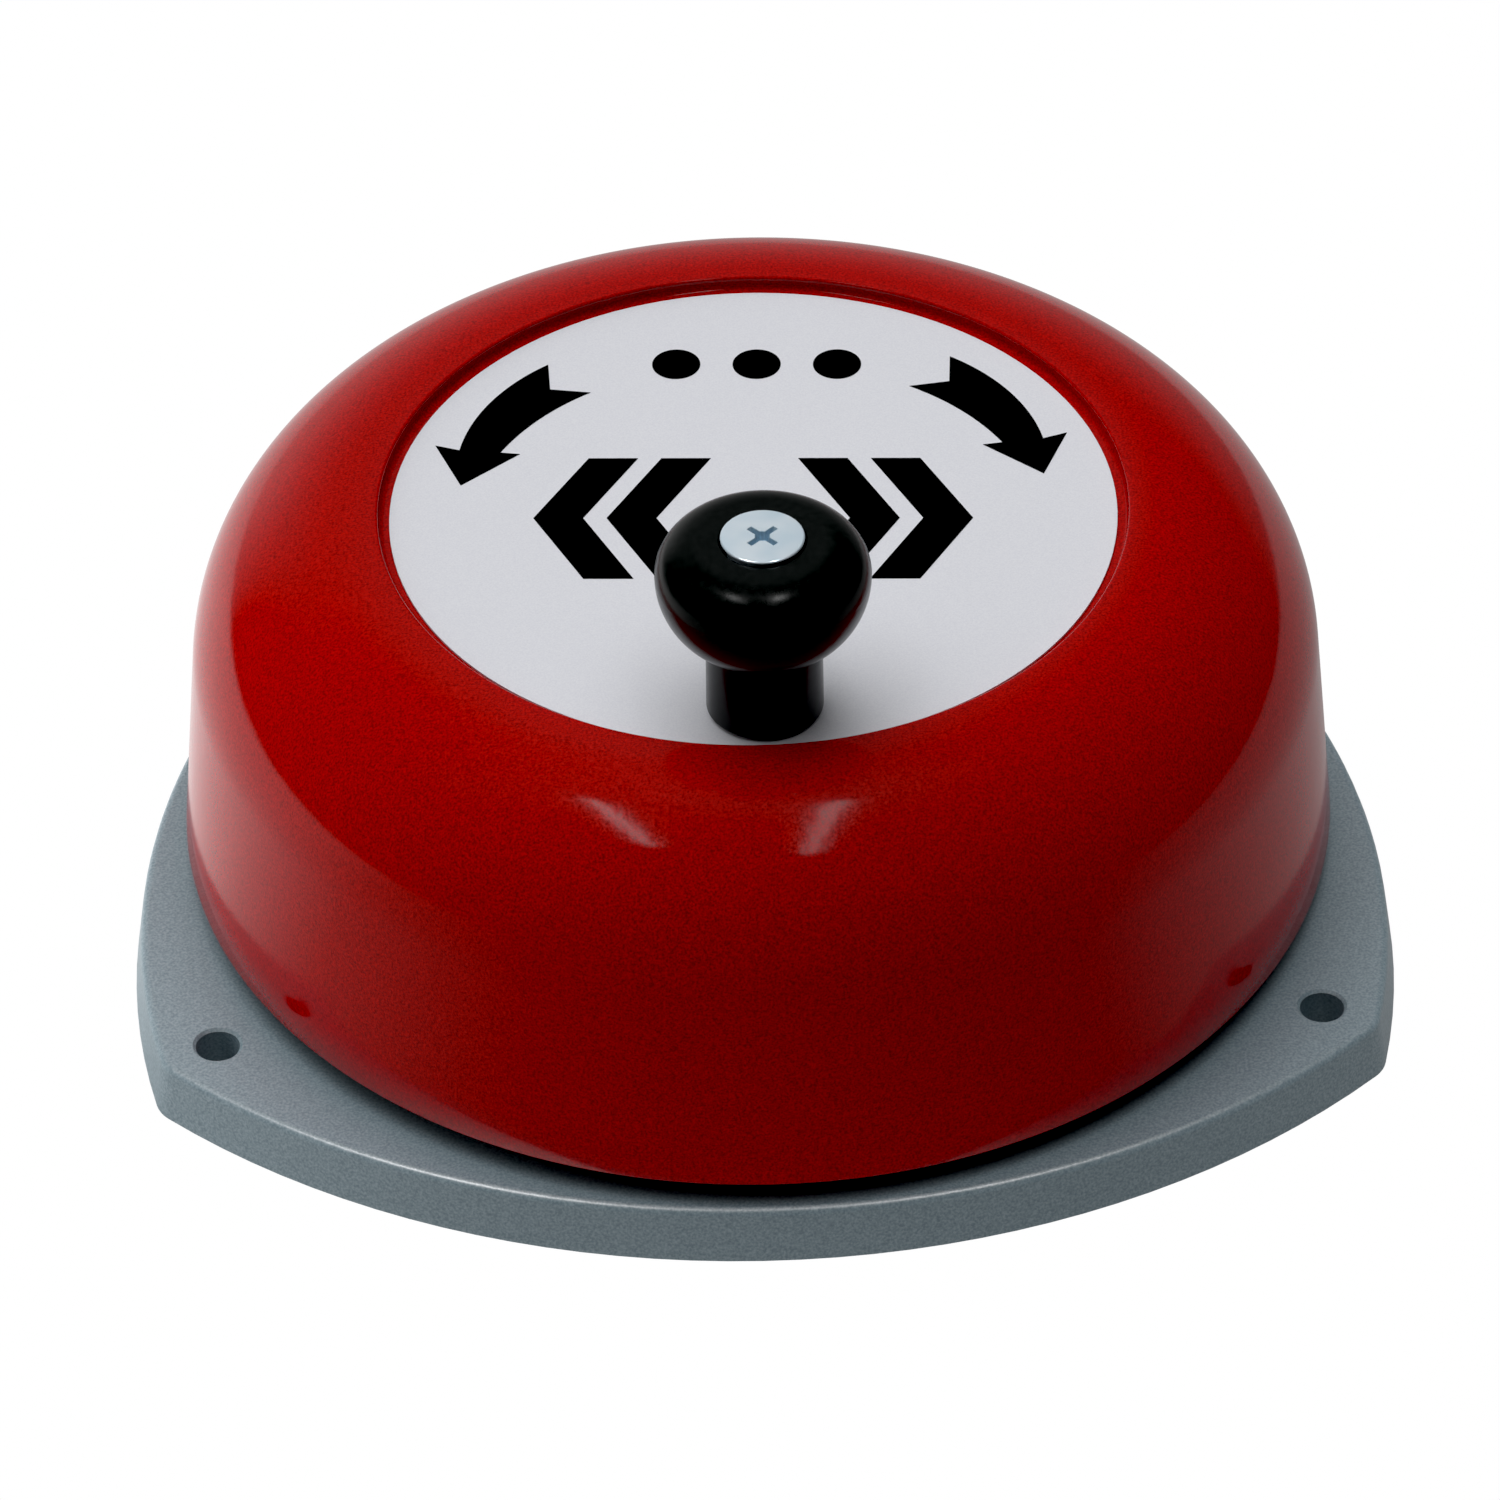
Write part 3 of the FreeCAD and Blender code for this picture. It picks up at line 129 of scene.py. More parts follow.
def between(tree, factor, low, high):
    """A number that goes from low to high with the noise."""
    spread = add(tree, "ShaderNodeMapRange",
                 {"Value": factor, "From Min": NOISE_LOW, "From Max": NOISE_HIGH,
                  "To Min": low, "To Max": high})
    return spread.outputs["Result"]


def tint(tree, factor, dark, light):
    """A colour that goes from dark to light with the noise. Each is a hex value or one of the
    colours that the user can set."""
    ramp = add(tree, "ShaderNodeValToRGB", {"Fac": factor})
    dark, light = (linear(end) if isinstance(end, str) else (*end, 1.0) for end in (dark, light))
    set_stops(ramp, [(NOISE_LOW, dark), (NOISE_HIGH, light)])
    return ramp.outputs["Color"]


def relief(tree, height, depth, strength=1.0):
    """A bump whose hills are depth millimetres high."""
    bump = add(tree, "ShaderNodeBump",
               {"Height": height, "Distance": depth * MM, "Strength": strength})
    return bump.outputs["Normal"]


def make_casting_paint():
    """Satin grey paint, thick with metal powder, on an aluminium casting: the casting's skin
    shows through it as a soft 0.8 mm grain, and it has a broad, strong gloss."""
    finish = bpy.context.scene.bell_finish
    material, tree, spot = start_material("satin_paint_on_aluminium_casting")
    skin = grain(tree, spot, 0.8, 3.0)
    finish_material(tree, {
        "Base Color": tint(tree, grain(tree, spot, 0.45), finish.paint_dark, finish.paint_light),
        "IOR": 1.8,
        "Roughness": between(tree, skin, 0.33, 0.39),
        "Normal": relief(tree, skin, 0.012)})
    return material


def make_gong_enamel():
    """Deep red gloss enamel sprayed on pressed steel: hard and clear, with the faint waves
    that sprayed enamel dries with, 2.4 mm apart, and a 0.4 mm grain in its colour."""
    finish = bpy.context.scene.bell_finish
    material, tree, spot = start_material("gloss_enamel_on_pressed_steel")
    waves = grain(tree, spot, 2.4, 1.0)
    fine = grain(tree, spot, 0.4, 2.0)
    finish_material(tree, {
        "Base Color": tint(tree, fine, finish.enamel_dark, finish.enamel_light),
        "IOR": 1.4,
        "Roughness": between(tree, fine, 0.09, 0.14),
        "Normal": relief(tree, waves, 0.014)})
    return material


def make_face_sheet():
    """Satin silver sheet of anodised aluminium: pale, nearly without direction, with a 0.3 mm
    grain from its etched surface."""
    finish = bpy.context.scene.bell_finish
    material, tree, spot = start_material("satin_anodised_aluminium_sheet")
    fine = grain(tree, spot, 0.3, 2.0)
    finish_material(tree, {
        "Base Color": tint(tree, fine, finish.sheet_dark, finish.sheet_light),
        "Metallic": 0.15,
        "Roughness": between(tree, fine, 0.42, 0.5),
        "Normal": relief(tree, fine, 0.004)})
    return material


def make_ink():
    """Black screen ink: flat, with the slight unevenness that the mesh leaves."""
    finish = bpy.context.scene.bell_finish
    material, tree, spot = start_material("screen_printed_ink")
    fine = grain(tree, spot, 0.5, 2.0)
    finish_material(tree, {
        "Base Color": tint(tree, fine, finish.ink_dark, finish.ink_light),
        "Specular IOR Level": 0.12,
        "Roughness": between(tree, fine, 0.5, 0.65),
        "Normal": relief(tree, fine, 0.004)})
    return material


def make_phenolic():
    """Black phenolic, moulded and tumbled: a satin skin with a 1.2 mm unevenness."""
    material, tree, spot = start_material("moulded_black_phenolic")
    fine = grain(tree, spot, 1.2, 3.0)
    finish_material(tree, {
        "Base Color": tint(tree, fine, "0C0F0E", "131615"),
        "Specular IOR Level": 0.2,
        "Roughness": between(tree, fine, 0.19, 0.25),
        "Normal": relief(tree, fine, 0.008)})
    return material


def make_zinc():
    """Bright zinc plate with blue passivation on turned or stamped steel: pale and bluish."""
    material, tree, spot = start_material("blue_passivated_zinc_plate")
    fine = grain(tree, spot, 0.35, 3.0)
    cloud = grain(tree, spot, 5.0, 1.0)
    finish_material(tree, {
        "Base Color": tint(tree, cloud, "D9EBF7", "EAF6FE"),
        "Metallic": 0.45,
        "Roughness": between(tree, fine, 0.2, 0.24),
        "Normal": relief(tree, fine, 0.0004)})
    return material


def make_painted_shade_recess_zinc():
    """The same plate inside the cross recess, a little rougher, with its colour darkened as
    painted shade.
    """
    material, tree, spot = start_material("zinc_plate_darkened_as_painted_shade_in_recess")
    finish_material(tree, {
        # Painted shade: this darker zinc colour stands in for the shade inside the cross recess
        "Base Color": tint(tree, grain(tree, spot, 0.6), "A4BCCB", "BAD0DE"),
        "Metallic": 0.5,
        "Roughness": 0.3})
    return material


def make_turned_steel():
    """Plain turned steel: soft tool marks about 1.6 mm apart along the axis."""
    material, tree, spot = start_material("turned_mild_steel")
    marks = tool_marks(tree, spot, 1.57, 1.5, (1.0, 2.0), wave_type="BANDS",
                       bands_direction="Z")
    finish_material(tree, {
        "Base Color": tint(tree, grain(tree, spot, 6.0), "A4A6A8", "B6B8BA"),
        "Metallic": 1.0,
        "Roughness": between(tree, marks, 0.26, 0.36),
        "Normal": relief(tree, marks, 0.003)})
    return material


def make_bronze():
    """Sintered bearing bronze, oil soaked: brown with dark pores a quarter millimetre wide."""
    material, tree, spot = start_material("sintered_bearing_bronze")
    pores = grain(tree, spot, 0.25, 3.0, 0.7)
    finish_material(tree, {
        "Base Color": tint(tree, pores, "8A6238", "B98A54"),
        "Metallic": 1.0,
        "Roughness": between(tree, pores, 0.5, 0.34),
        "Normal": relief(tree, pores, 0.006)})
    return material


def make_brass():
    """Cut brass: faced on a lathe, so soft rings run round the spindle, 1.9 mm apart."""
    material, tree, spot = start_material("lathe_faced_brass")
    rings = tool_marks(tree, spot, 1.885, 0.8, wave_type="RINGS", rings_direction="Z")
    finish_material(tree, {
        "Base Color": tint(tree, grain(tree, spot, 9.0), "BE9D55", "CDAE66"),
        "Metallic": 1.0,
        "Roughness": between(tree, rings, 0.24, 0.34),
        "Normal": relief(tree, rings, 0.003)})
    return material


def make_turned_alloy():
    """Turned aluminium: pale, with rings round the spindle 2.2 mm apart."""
    material, tree, spot = start_material("turned_aluminium")
    rings = tool_marks(tree, spot, 2.2, 0.8, wave_type="RINGS", rings_direction="Z")
    finish_material(tree, {
        "Base Color": tint(tree, grain(tree, spot, 9.0), "C2C4C8", "D0D2D5"),
        "Metallic": 1.0,
        "Roughness": between(tree, rings, 0.3, 0.4),
        "Normal": relief(tree, rings, 0.003)})
    return material


def make_hardened_steel():
    """Case-hardened steel, tumbled and oiled: dark blue grey, mottled from the quench."""
    material, tree, spot = start_material("case_hardened_steel")
    mottle = grain(tree, spot, 2.5, 4.0, 0.6)
    finish_material(tree, {
        "Base Color": tint(tree, mottle, "54575D", "76777A"),
        "Metallic": 1.0,
        "Roughness": between(tree, mottle, 0.42, 0.3),
        "Normal": relief(tree, grain(tree, spot, 0.4), 0.004)})
    return material


def make_nylon():
    """Natural nylon, turned from rod: milky, a little light passes into it."""
    material, tree, spot = start_material("natural_nylon")
    fine = grain(tree, spot, 0.4, 2.0)
    finish_material(tree, {
        "Base Color": tint(tree, fine, "D8D5C8", "E2DFD3"),
        "Subsurface Weight": 0.2,
        "Subsurface Radius": (0.001, 0.001, 0.0008),
        "Roughness": between(tree, fine, 0.4, 0.5),
        "Normal": relief(tree, fine, 0.004)})
    return material


def zinc():
    """The zinc plate, made once for all that has it."""
    return bpy.data.materials.get("blue_passivated_zinc_plate") or make_zinc()


def cover(names, material):
    """Gives CAD nodes a material."""
    for name in names:
        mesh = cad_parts[name].data
        mesh.materials.clear()
        mesh.materials.append(material)


def add_piece(name, points, faces, material, body, sharp=None):
    """Makes an object from points in metres and faces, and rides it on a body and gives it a
    material. Where sharp is given the faces are smooth, but for the edges that
    turn by more than that many degrees."""
    mesh = bpy.data.meshes.new(name)
    mesh.from_pydata(points.tolist(), [], faces)
    mesh.materials.append(material)
    if sharp is not None:
        mesh.polygons.foreach_set("use_smooth", [True] * len(mesh.polygons))
        mesh.set_sharp_from_angle(angle=math.radians(sharp))
    piece = bpy.data.objects.new(name, mesh)
    bpy.context.scene.collection.objects.link(piece)
    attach(piece, body)
    return piece


def ring_faces(rows, columns):
    """The four-cornered faces between rings of points, each ring closed round an axis."""
    start = np.arange(rows - 1)[:, None] * columns
    here = np.arange(columns)
    after = (here + 1) % columns
    return np.stack([start + here, start + after, start + columns + after,
                     start + columns + here], axis=-1).reshape(-1, 4)


def arc(centre, radius, first, last, steps):
    """Points (radius, height) on an arc, by degrees from the outward direction."""
    turn = np.radians(np.linspace(first, last, steps))
    return np.stack([centre[0] + radius * np.cos(turn), centre[1] + radius * np.sin(turn)],
                    axis=-1)


def fill_between(points, loops, upward):
    """Triangles over the level face inside the first loop of points and outside the others."""
    corners = np.concatenate(loops)
    filled = tessellate_polygon([[Vector(points[corner]) for corner in loop] for loop in loops])
    triangles = corners[np.array(filled)]
    legs = points[triangles[:, 1]] - points[triangles[:, 0]]
    arms = points[triangles[:, 2]] - points[triangles[:, 0]]
    turned = (legs[:, 0] * arms[:, 1] - legs[:, 1] * arms[:, 0] > 0) != upward
    triangles[turned] = triangles[turned][:, ::-1]
    return triangles.tolist()


def carry_round(radius, turn, height, centre):
    """Points in metres round an upright axis: x = r cos t, y = r sin t, in millimetres."""
    return np.stack([centre[0] + radius * np.cos(turn), centre[1] + radius * np.sin(turn),
                     height + 0 * turn], axis=-1) * MM


def turned_rings(profile, count, centre=(0.0, 0.0)):
    """A profile of (radius, height) points in millimetres, carried round an upright axis as
    rings of so many points."""
    turn = np.linspace(0, 2 * math.pi, count, endpoint=False)
    return carry_round(profile[:, :1], turn, profile[:, 1:], centre)


def colour(name, description, code):
    """A colour that the user can set."""
    return FloatVectorProperty(name=name, description=description, default=linear(code)[:3],
                               subtype="COLOR", min=0.0, max=1.0)


def length(name, description, millimetres):
    """A length that the user can set."""
    return FloatProperty(name=name, description=description, default=millimetres * MM,
                         unit="LENGTH", min=0.0)


class BellFinish(PropertyGroup):
    enamel_dark: colour("Enamel, dark", "Darker parts of the gong's enamel", "790100")
    enamel_light: colour("Enamel, light", "Lighter parts of the gong's enamel", "B70902")
    paint_dark: colour("Base paint, dark", "Darker grain of the base's paint", "71858E")
    paint_light: colour("Base paint, light", "Lighter grain of the base's paint", "97A8B0")
    sheet_dark: colour("Face plate, dark", "Darker grain of the face plate", "D9DAE1")
    sheet_light: colour("Face plate, light", "Lighter grain of the face plate", "E2E3E8")
    ink_dark: colour("Ink, dark", "Darker parts of the printed marks", "040707")
    ink_light: colour("Ink, light", "Lighter parts of the printed marks", "090D0D")
    ink_film: length("Ink film", "Thickness of the printed ink", 0.06)
    disc_radius: length("Disc radius", "Radius of each printed disc", 4.2)
    chevron_height: length("Chevron height", "Height of the printed chevrons", 33.0)
    chevron_stroke: length("Chevron stroke", "Width of a chevron's stroke", 8.5)
    chevron_depth: length("Chevron depth", "How far a chevron's point stands out", 9.0)
    lip_edge: length("Lip edge", "Rounding of the edge round the gong's sunk top", 0.45)
    lip_foot: length("Lip foot", "Rounding at the foot of the gong's lip", 0.9)


class BellStage(PropertyGroup):
    camera_distance: FloatProperty(
        name="Camera distance", description="Camera to the point that it looks at",
        default=1.6005, unit="LENGTH")


def polar(radius, angle, height):
    """Points at a radius and an angle in degrees from the +Y side, positive towards -X."""
    turn = np.radians(angle)
    return np.stack([-radius * np.sin(turn), radius * np.cos(turn),
                     np.full_like(radius, height)], axis=-1) * MM


FACE_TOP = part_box("face_plate")[1][2] / MM
# The arrow in plan: (angle in degrees from the +Y side, radius in millimetres)
ARROW = {
    "tail_inner": (38.8, 44.1), "tail_outer": (39.4, 55.1), "tail_notch": 44.3,
    "neck_inner": (67.4, 46.8), "neck_outer": (69.4, 53.7), "shaft_bulge": 0.9,
    "barb_inner": (66.3, 43.5), "barb_outer": (69.5, 58.1), "tip": (79.7, 50.8)}
ARROW_STEPS = 33
# The print isn't quite square to the knob: the arrows and the other marks turn by these degrees
ARROW_TURN = -1.2
MARK_TURN = -3.0
# The chevrons' and discs' places in millimetres, towards +X and towards +Y
CHEVRON_REACHES, CHEVRON_ROW = (37.5, 25.0), -1.5
DISC_PLACES, DISC_ROW = (-14.0, 0.0, 14.0), 41.5
DISC_STEPS = 48


def flat_outline(x, y):
    """An outline on the face plate, turned as the marks are."""
    return polar(np.hypot(x, y), np.degrees(np.arctan2(-x, y)) + MARK_TURN, FACE_TOP)


def arrow_outline(side):
    """The arrow's outline. Both edges of the shaft run straight in angle and radius from the
    tail to the neck, the outer one bulged by the parabola 4 u (1 - u)."""
    u = np.linspace(0, 1, ARROW_STEPS)
    inner = [(1 - u) * ARROW["tail_inner"][end] + u * ARROW["neck_inner"][end] for end in (0, 1)]
    outer = [(1 - u) * ARROW["tail_outer"][end] + u * ARROW["neck_outer"][end] for end in (0, 1)]
    outer[1] = outer[1] + ARROW["shaft_bulge"] * 4 * u * (1 - u)
    head = [ARROW["barb_inner"], ARROW["tip"], ARROW["barb_outer"]]
    notch = (ARROW["tail_notch"], (ARROW["tail_inner"][1] + ARROW["tail_outer"][1]) / 2)
    angle = np.concatenate([inner[0], [corner[0] for corner in head], outer[0][::-1], [notch[0]]])
    radius = np.concatenate([inner[1], [corner[1] for corner in head], outer[1][::-1], [notch[1]]])
    return polar(radius, side * angle + ARROW_TURN, FACE_TOP)


def chevron_outline(side, reach):
    """A chevron on one side that points away from the axis, as its six corners. Its point is
    at the reach."""
    finish = bpy.context.scene.bell_finish
    back = (np.array([1, 0, 1, 1, 0, 1]) * finish.chevron_depth
            + np.array([0, 0, 0, 1, 1, 1]) * finish.chevron_stroke) / MM
    rise = np.array([1, 0, -1, -1, 0, 1]) * finish.chevron_height / MM / 2
    return flat_outline(side * (reach - back), CHEVRON_ROW + rise)


def disc_outline(x):
    """A circle's outline."""
    radius = bpy.context.scene.bell_finish.disc_radius / MM
    turn = np.linspace(0, 2 * math.pi, DISC_STEPS, endpoint=False)
    return flat_outline(x + radius * np.cos(turn), DISC_ROW + radius * np.sin(turn))


def print_mark(name, outlines, ink):
    """A mark as a thin film of ink on the face plate, its outlines all facing up."""
    faces, offset = [], 0
    for outline in outlines:
        x, y = outline[:, 0], outline[:, 1]
        upward = np.sum(x * np.roll(y, -1) - np.roll(x, -1) * y) > 0
        ring = np.arange(len(outline)) + offset
        faces.append((ring if upward else ring[::-1]).tolist())
        offset += len(outline)
    piece = add_piece(name, np.concatenate(outlines), faces, ink, "gong_unit")
    film = piece.modifiers.new("film", "SOLIDIFY")
    film.thickness, film.offset = bpy.context.scene.bell_finish.ink_film, 1.0


class BELL_OT_base(Operator):
    """Paints the cast base"""
    bl_idname = "bell.base"
    bl_label = "Paint the base"

    def execute(self, context):
        cover(["base_plate"], make_casting_paint())
        return {"FINISHED"}


# The knob's screw stands here, in millimetres
SCREW_PLACE = (0.0, -51.7049)

# The gong in millimetres, with the lean of its side in degrees: the same form as the solid, with
# the lip's edge and foot drawn closer to the photograph. It is finely divided, because its gloss
# shows every facet.
GONG_RADIUS = 100.0
GONG_RIM, RIM_EDGE = 14.6, 0.3
GONG_LEAN = 4.7
GONG_WALL = 1.8
SIDE_RISES = (0.4, 8, 16, 24, 32)
SHOULDER = 32.0
CREST_RADIUS, CREST = 65.105, 80.5
LIP_WALL = 64.0
SUNK_TOP, UNDERSIDE, UNDERSIDE_ROUND = 78.1, 76.3, 2.3
GONG_STEPS, HOLE_STEPS = 360, 48
RIVET_CIRCLE, RIVET_HOLE, SCREW_HOLE = 21.5, 2.52, 3.02


def gong_profile():
    """The pressed sheet's section from the underside of its sunk top, out and down the inside,
    round the rim, up the outside and over the lip into the sunk top."""
    finish = bpy.context.scene.bell_finish
    edge, foot = finish.lip_edge / MM, finish.lip_foot / MM
    middle = (CREST_RADIUS, CREST - SHOULDER)
    under = (CREST_RADIUS - UNDERSIDE_ROUND, UNDERSIDE + UNDERSIDE_ROUND)
    slope = math.tan(math.radians(GONG_LEAN))
    inner_rim = GONG_RADIUS - GONG_WALL / math.cos(math.radians(GONG_LEAN))
    side = [(GONG_RADIUS - slope * rise, GONG_RIM + rise) for rise in SIDE_RISES]
    inside = [(radius - GONG_RADIUS + inner_rim, height) for radius, height in side[::-1]]
    return np.concatenate([
        arc(under, UNDERSIDE_ROUND, -90, 0, 9),
        arc(middle, SHOULDER - GONG_WALL, 90, GONG_LEAN, 33), inside,
        [(inner_rim + RIM_EDGE, GONG_RIM), (GONG_RADIUS - RIM_EDGE, GONG_RIM)], side,
        arc(middle, SHOULDER, GONG_LEAN, 90, 49),
        arc((LIP_WALL + edge, CREST - edge), edge, 90, 180, 9),
        arc((LIP_WALL - foot, SUNK_TOP + foot), foot, 0, -90, 13)])


def gong_holes():
    """The holes in the sunk top, each (x, y, radius)."""
    rivets = [(RIVET_CIRCLE * math.cos(turn), RIVET_CIRCLE * math.sin(turn), RIVET_HOLE)
              for turn in np.radians(THIRDS)]
    return rivets + [(*SCREW_PLACE, SCREW_HOLE)]


def make_gong(material):
    """The gong's sheet. The profile is carried round the axis, and the sunk top's two faces
    are filled between the profile's ends and the holes, which straight walls join."""
    profile = gong_profile()
    rings = turned_rings(profile, GONG_STEPS)
    points, faces = [rings.reshape(-1, 3)], ring_faces(len(profile), GONG_STEPS).tolist()
    offset = len(profile) * GONG_STEPS
    low, high = [np.arange(GONG_STEPS)], [np.arange(GONG_STEPS) + offset - GONG_STEPS]
    for x, y, radius in gong_holes():
        wall = np.array([(radius, SUNK_TOP), (radius, UNDERSIDE)])
        points.append(turned_rings(wall, HOLE_STEPS, (x, y)).reshape(-1, 3))
        faces += (ring_faces(len(wall), HOLE_STEPS) + offset).tolist()
        high.append(np.arange(HOLE_STEPS) + offset)
        low.append(high[-1] + HOLE_STEPS)
        offset += len(wall) * HOLE_STEPS
    points = np.concatenate(points)
    faces += fill_between(points, low, False) + fill_between(points, high, True)
    piece = add_piece("gong_shell", points, faces, material, "gong_unit", 40)
    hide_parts("gong")


class BELL_OT_gong(Operator):
    """Presses and enamels the gong"""
    bl_idname = "bell.gong"
    bl_label = "Make the gong"

    def execute(self, context):
        make_gong(make_gong_enamel())
        return {"FINISHED"}


class BELL_OT_face(Operator):
    """Finishes the face plate and prints its marks"""
    bl_idname = "bell.face"
    bl_label = "Print the face plate"

    def execute(self, context):
        cover(["face_plate"], make_face_sheet())
        ink = make_ink()
        print_mark("arrow_left", [arrow_outline(1)], ink)
        print_mark("arrow_right", [arrow_outline(-1)], ink)
        for name, side in (("chevrons_left", -1), ("chevrons_right", 1)):
            print_mark(name, [chevron_outline(side, reach) for reach in CHEVRON_REACHES], ink)
        print_mark("discs", [disc_outline(x) for x in DISC_PLACES], ink)
        return {"FINISHED"}


# The knob's screw in millimetres: an M6 machine screw with a wide flat head
SCREW_STEPS = 96
SCREW_END, THREAD_END, SHANK_START = 69.1, 81.1, 100.2
SCREW_HEAD_SEAT, SCREW_HEAD_EDGE, SCREW_HEAD_TOP = 112.2, 113.45, 114.6
SHANK_RADIUS = 3.0
SCREW_HEAD_RADIUS, SCREW_HEAD_UNDER, SCREW_HEAD_ROUND = 7.0, 6.2, 0.35
THREAD_PITCH, THREAD_RADIUS, THREAD_DEPTH = 1.0, 2.98, 0.5
THREAD_RINGS = 12
THREAD_FADE = 0.3
# The cross recess narrows with depth: (depth, reach of its arms, half their width, radius of
# the hollow in its middle). It is turned by so many degrees.
CROSS_LEVELS = [(0.0, 3.1, 0.56, 1.3), (0.1, 3.02, 0.47, 1.2), (0.8, 2.75, 0.42, 1.08),
                (1.7, 2.2, 0.36, 0.95), (2.4, 1.3, 0.3, 0.75)]
CROSS_DEPTH = 2.8
CROSS_TURN = 43.5
CROSS_STEPS = 240


def thread_rings():
    """The thread as rings: the radius falls by a triangle wave of z / pitch less the turn, so
    its ridge climbs by one pitch each turn. It fades out at each end, over a part of a pitch."""
    turn = np.linspace(0, 2 * math.pi, SCREW_STEPS, endpoint=False)
    height = np.arange(SCREW_END, THREAD_END, THREAD_PITCH / THREAD_RINGS)[:, None]
    wave = np.abs(2 * ((height / THREAD_PITCH - turn / (2 * math.pi)) % 1.0) - 1)
    to_end = np.minimum(height - SCREW_END, THREAD_END - height)
    fade = np.clip(to_end / (THREAD_FADE * THREAD_PITCH), 0, 1)
    radius = THREAD_RADIUS - THREAD_DEPTH * (1 - fade * (1 - wave))
    return carry_round(radius, turn, height, SCREW_PLACE)


def cross_rings():
    """The cross recess as rings: at an angle from the nearest arm's middle line the outline is
    at reach / cos on the arm's end and half / sin on its side, and never nearer than the
    middle hollow's radius."""
    turn = np.linspace(0, 2 * math.pi, CROSS_STEPS, endpoint=False)
    away = (turn + math.pi / 4) % (math.pi / 2) - math.pi / 4
    depth, reach, half, hollow = (np.array(column)[:, None] for column in zip(*CROSS_LEVELS))
    side = half / np.maximum(np.abs(np.sin(away)), 1e-6)
    radius = np.maximum(np.minimum(reach / np.cos(away), side), hollow)
    turn = turn + math.radians(CROSS_TURN)
    return carry_round(radius, turn, SCREW_HEAD_TOP - depth, SCREW_PLACE)


def make_knob_screw(material):
    """The screw: a threaded shank, a wide head with a rounded, undercut edge and its cross
    recess."""
    edge = (SCREW_HEAD_RADIUS - SCREW_HEAD_ROUND, SCREW_HEAD_TOP - SCREW_HEAD_ROUND)
    head = np.concatenate([
        [(SHANK_RADIUS, SHANK_START), (SHANK_RADIUS, SCREW_HEAD_SEAT),
         (SCREW_HEAD_UNDER, SCREW_HEAD_SEAT), (SCREW_HEAD_UNDER, SCREW_HEAD_EDGE)],
        arc(edge, SCREW_HEAD_ROUND, 0, 90, 9)])
    outside = np.concatenate([thread_rings(), turned_rings(head, SCREW_STEPS, SCREW_PLACE)])
    cross = cross_rings()
    tip = np.array([[*SCREW_PLACE, SCREW_HEAD_TOP - CROSS_DEPTH]]) * MM
    points = np.concatenate([outside.reshape(-1, 3), cross.reshape(-1, 3), tip])
    start = len(outside) * SCREW_STEPS
    end = [np.arange(SCREW_STEPS)[::-1].tolist()]
    plated = ring_faces(len(outside), SCREW_STEPS).tolist() + end
    last = np.arange(CROSS_STEPS) + start + (len(cross) - 1) * CROSS_STEPS
    point = np.stack([last, np.roll(last, -1), 0 * last + len(points) - 1], axis=-1)
    recess = (ring_faces(len(cross), CROSS_STEPS) + start).tolist() + point.tolist()
    top = fill_between(points, [np.arange(SCREW_STEPS) + start - SCREW_STEPS,
                                np.arange(CROSS_STEPS) + start], True)
    piece = add_piece("cross_recess_screw", points, plated + recess + top, material,
                      "gong_unit", 30)
    # The recess faces take the zinc whose colour is darkened as painted shade
    piece.data.materials.append(make_painted_shade_recess_zinc())
    piece.data.polygons.foreach_set(
        "material_index", [0] * len(plated) + [1] * len(recess) + [0] * len(top))
    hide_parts("knob_screw")


class BELL_OT_knob(Operator):
    """Finishes the knob and what holds it"""
    bl_idname = "bell.knob"
    bl_label = "Finish the knob"

    def execute(self, context):
        cover(["knob"], make_phenolic())
        cover(["knob_washer"], make_nylon())
        make_knob_screw(zinc())
        return {"FINISHED"}


class BELL_OT_works(Operator):
    """Finishes the works inside the gong"""
    bl_idname = "bell.works"
    bl_label = "Finish the works"

    def execute(self, context):
        cover(["knob_lock_washer", "knob_nut", "rotor_stud_washer", "rotor_stud_nut",
               "rotor_washer", "spindle_washer", "gear_screws"], zinc())
        cover(["spindle", "rotor_stud", "knob_sleeve", "hub_pin", "rotor_circlip",
               "spindle_circlip", "rotor_arm", "arm_rivets", "hammer_pins", "hammer_clips",
               "pinion", "pinion_set_screw"], make_turned_steel())
        cover(["bush_lower", "bush_upper", "rotor_sleeve"], make_bronze())
        cover(["drive_gear"], make_brass())
        cover(["hub", "hub_rivets"], make_turned_alloy())
        cover(["hammer_a", "hammer_b"], make_hardened_steel())
        return {"FINISHED"}


# Brightness of the table and of the room, by azimuth in degrees from the bell's front towards
# +X. The room has a ring for each of four heights over the horizon, in degrees. Dull surfaces are
# lit by the soft light, and gloss shows the mirrored light.
SOFT_TABLE = [(-180, 1.64), (-150, 1.95), (-120, 3.0), (-90, 3.1), (-60, 1.15), (-30, 0.8),
              (0, 0.74), (60, 0.58), (90, 1.12), (120, 1.51), (150, 1.57), (180, 1.64)]
SOFT_ROOM = [
    (5, [(-180, 0.46), (-150, 0.87), (-120, 0.7), (-90, 0.37), (-60, 0.23), (-30, 0.0),
         (150, 0.0), (180, 0.46)]),
    (30, [(-180, 0.63), (-150, 2.09), (-120, 1.63), (-90, 0.79), (-60, 0.5), (-30, 0.0),
          (150, 0.0), (180, 0.63)]),
    (52, [(-180, 1.04), (-150, 2.29), (-120, 1.97), (-90, 1.1), (-60, 0.0), (30, 0.0),
          (60, 0.28), (90, 0.0), (150, 0.0), (180, 1.04)]),
    (74, [(-180, 4.2), (-90, 2.6), (0, 0.45), (90, 2.8), (180, 4.2)])]
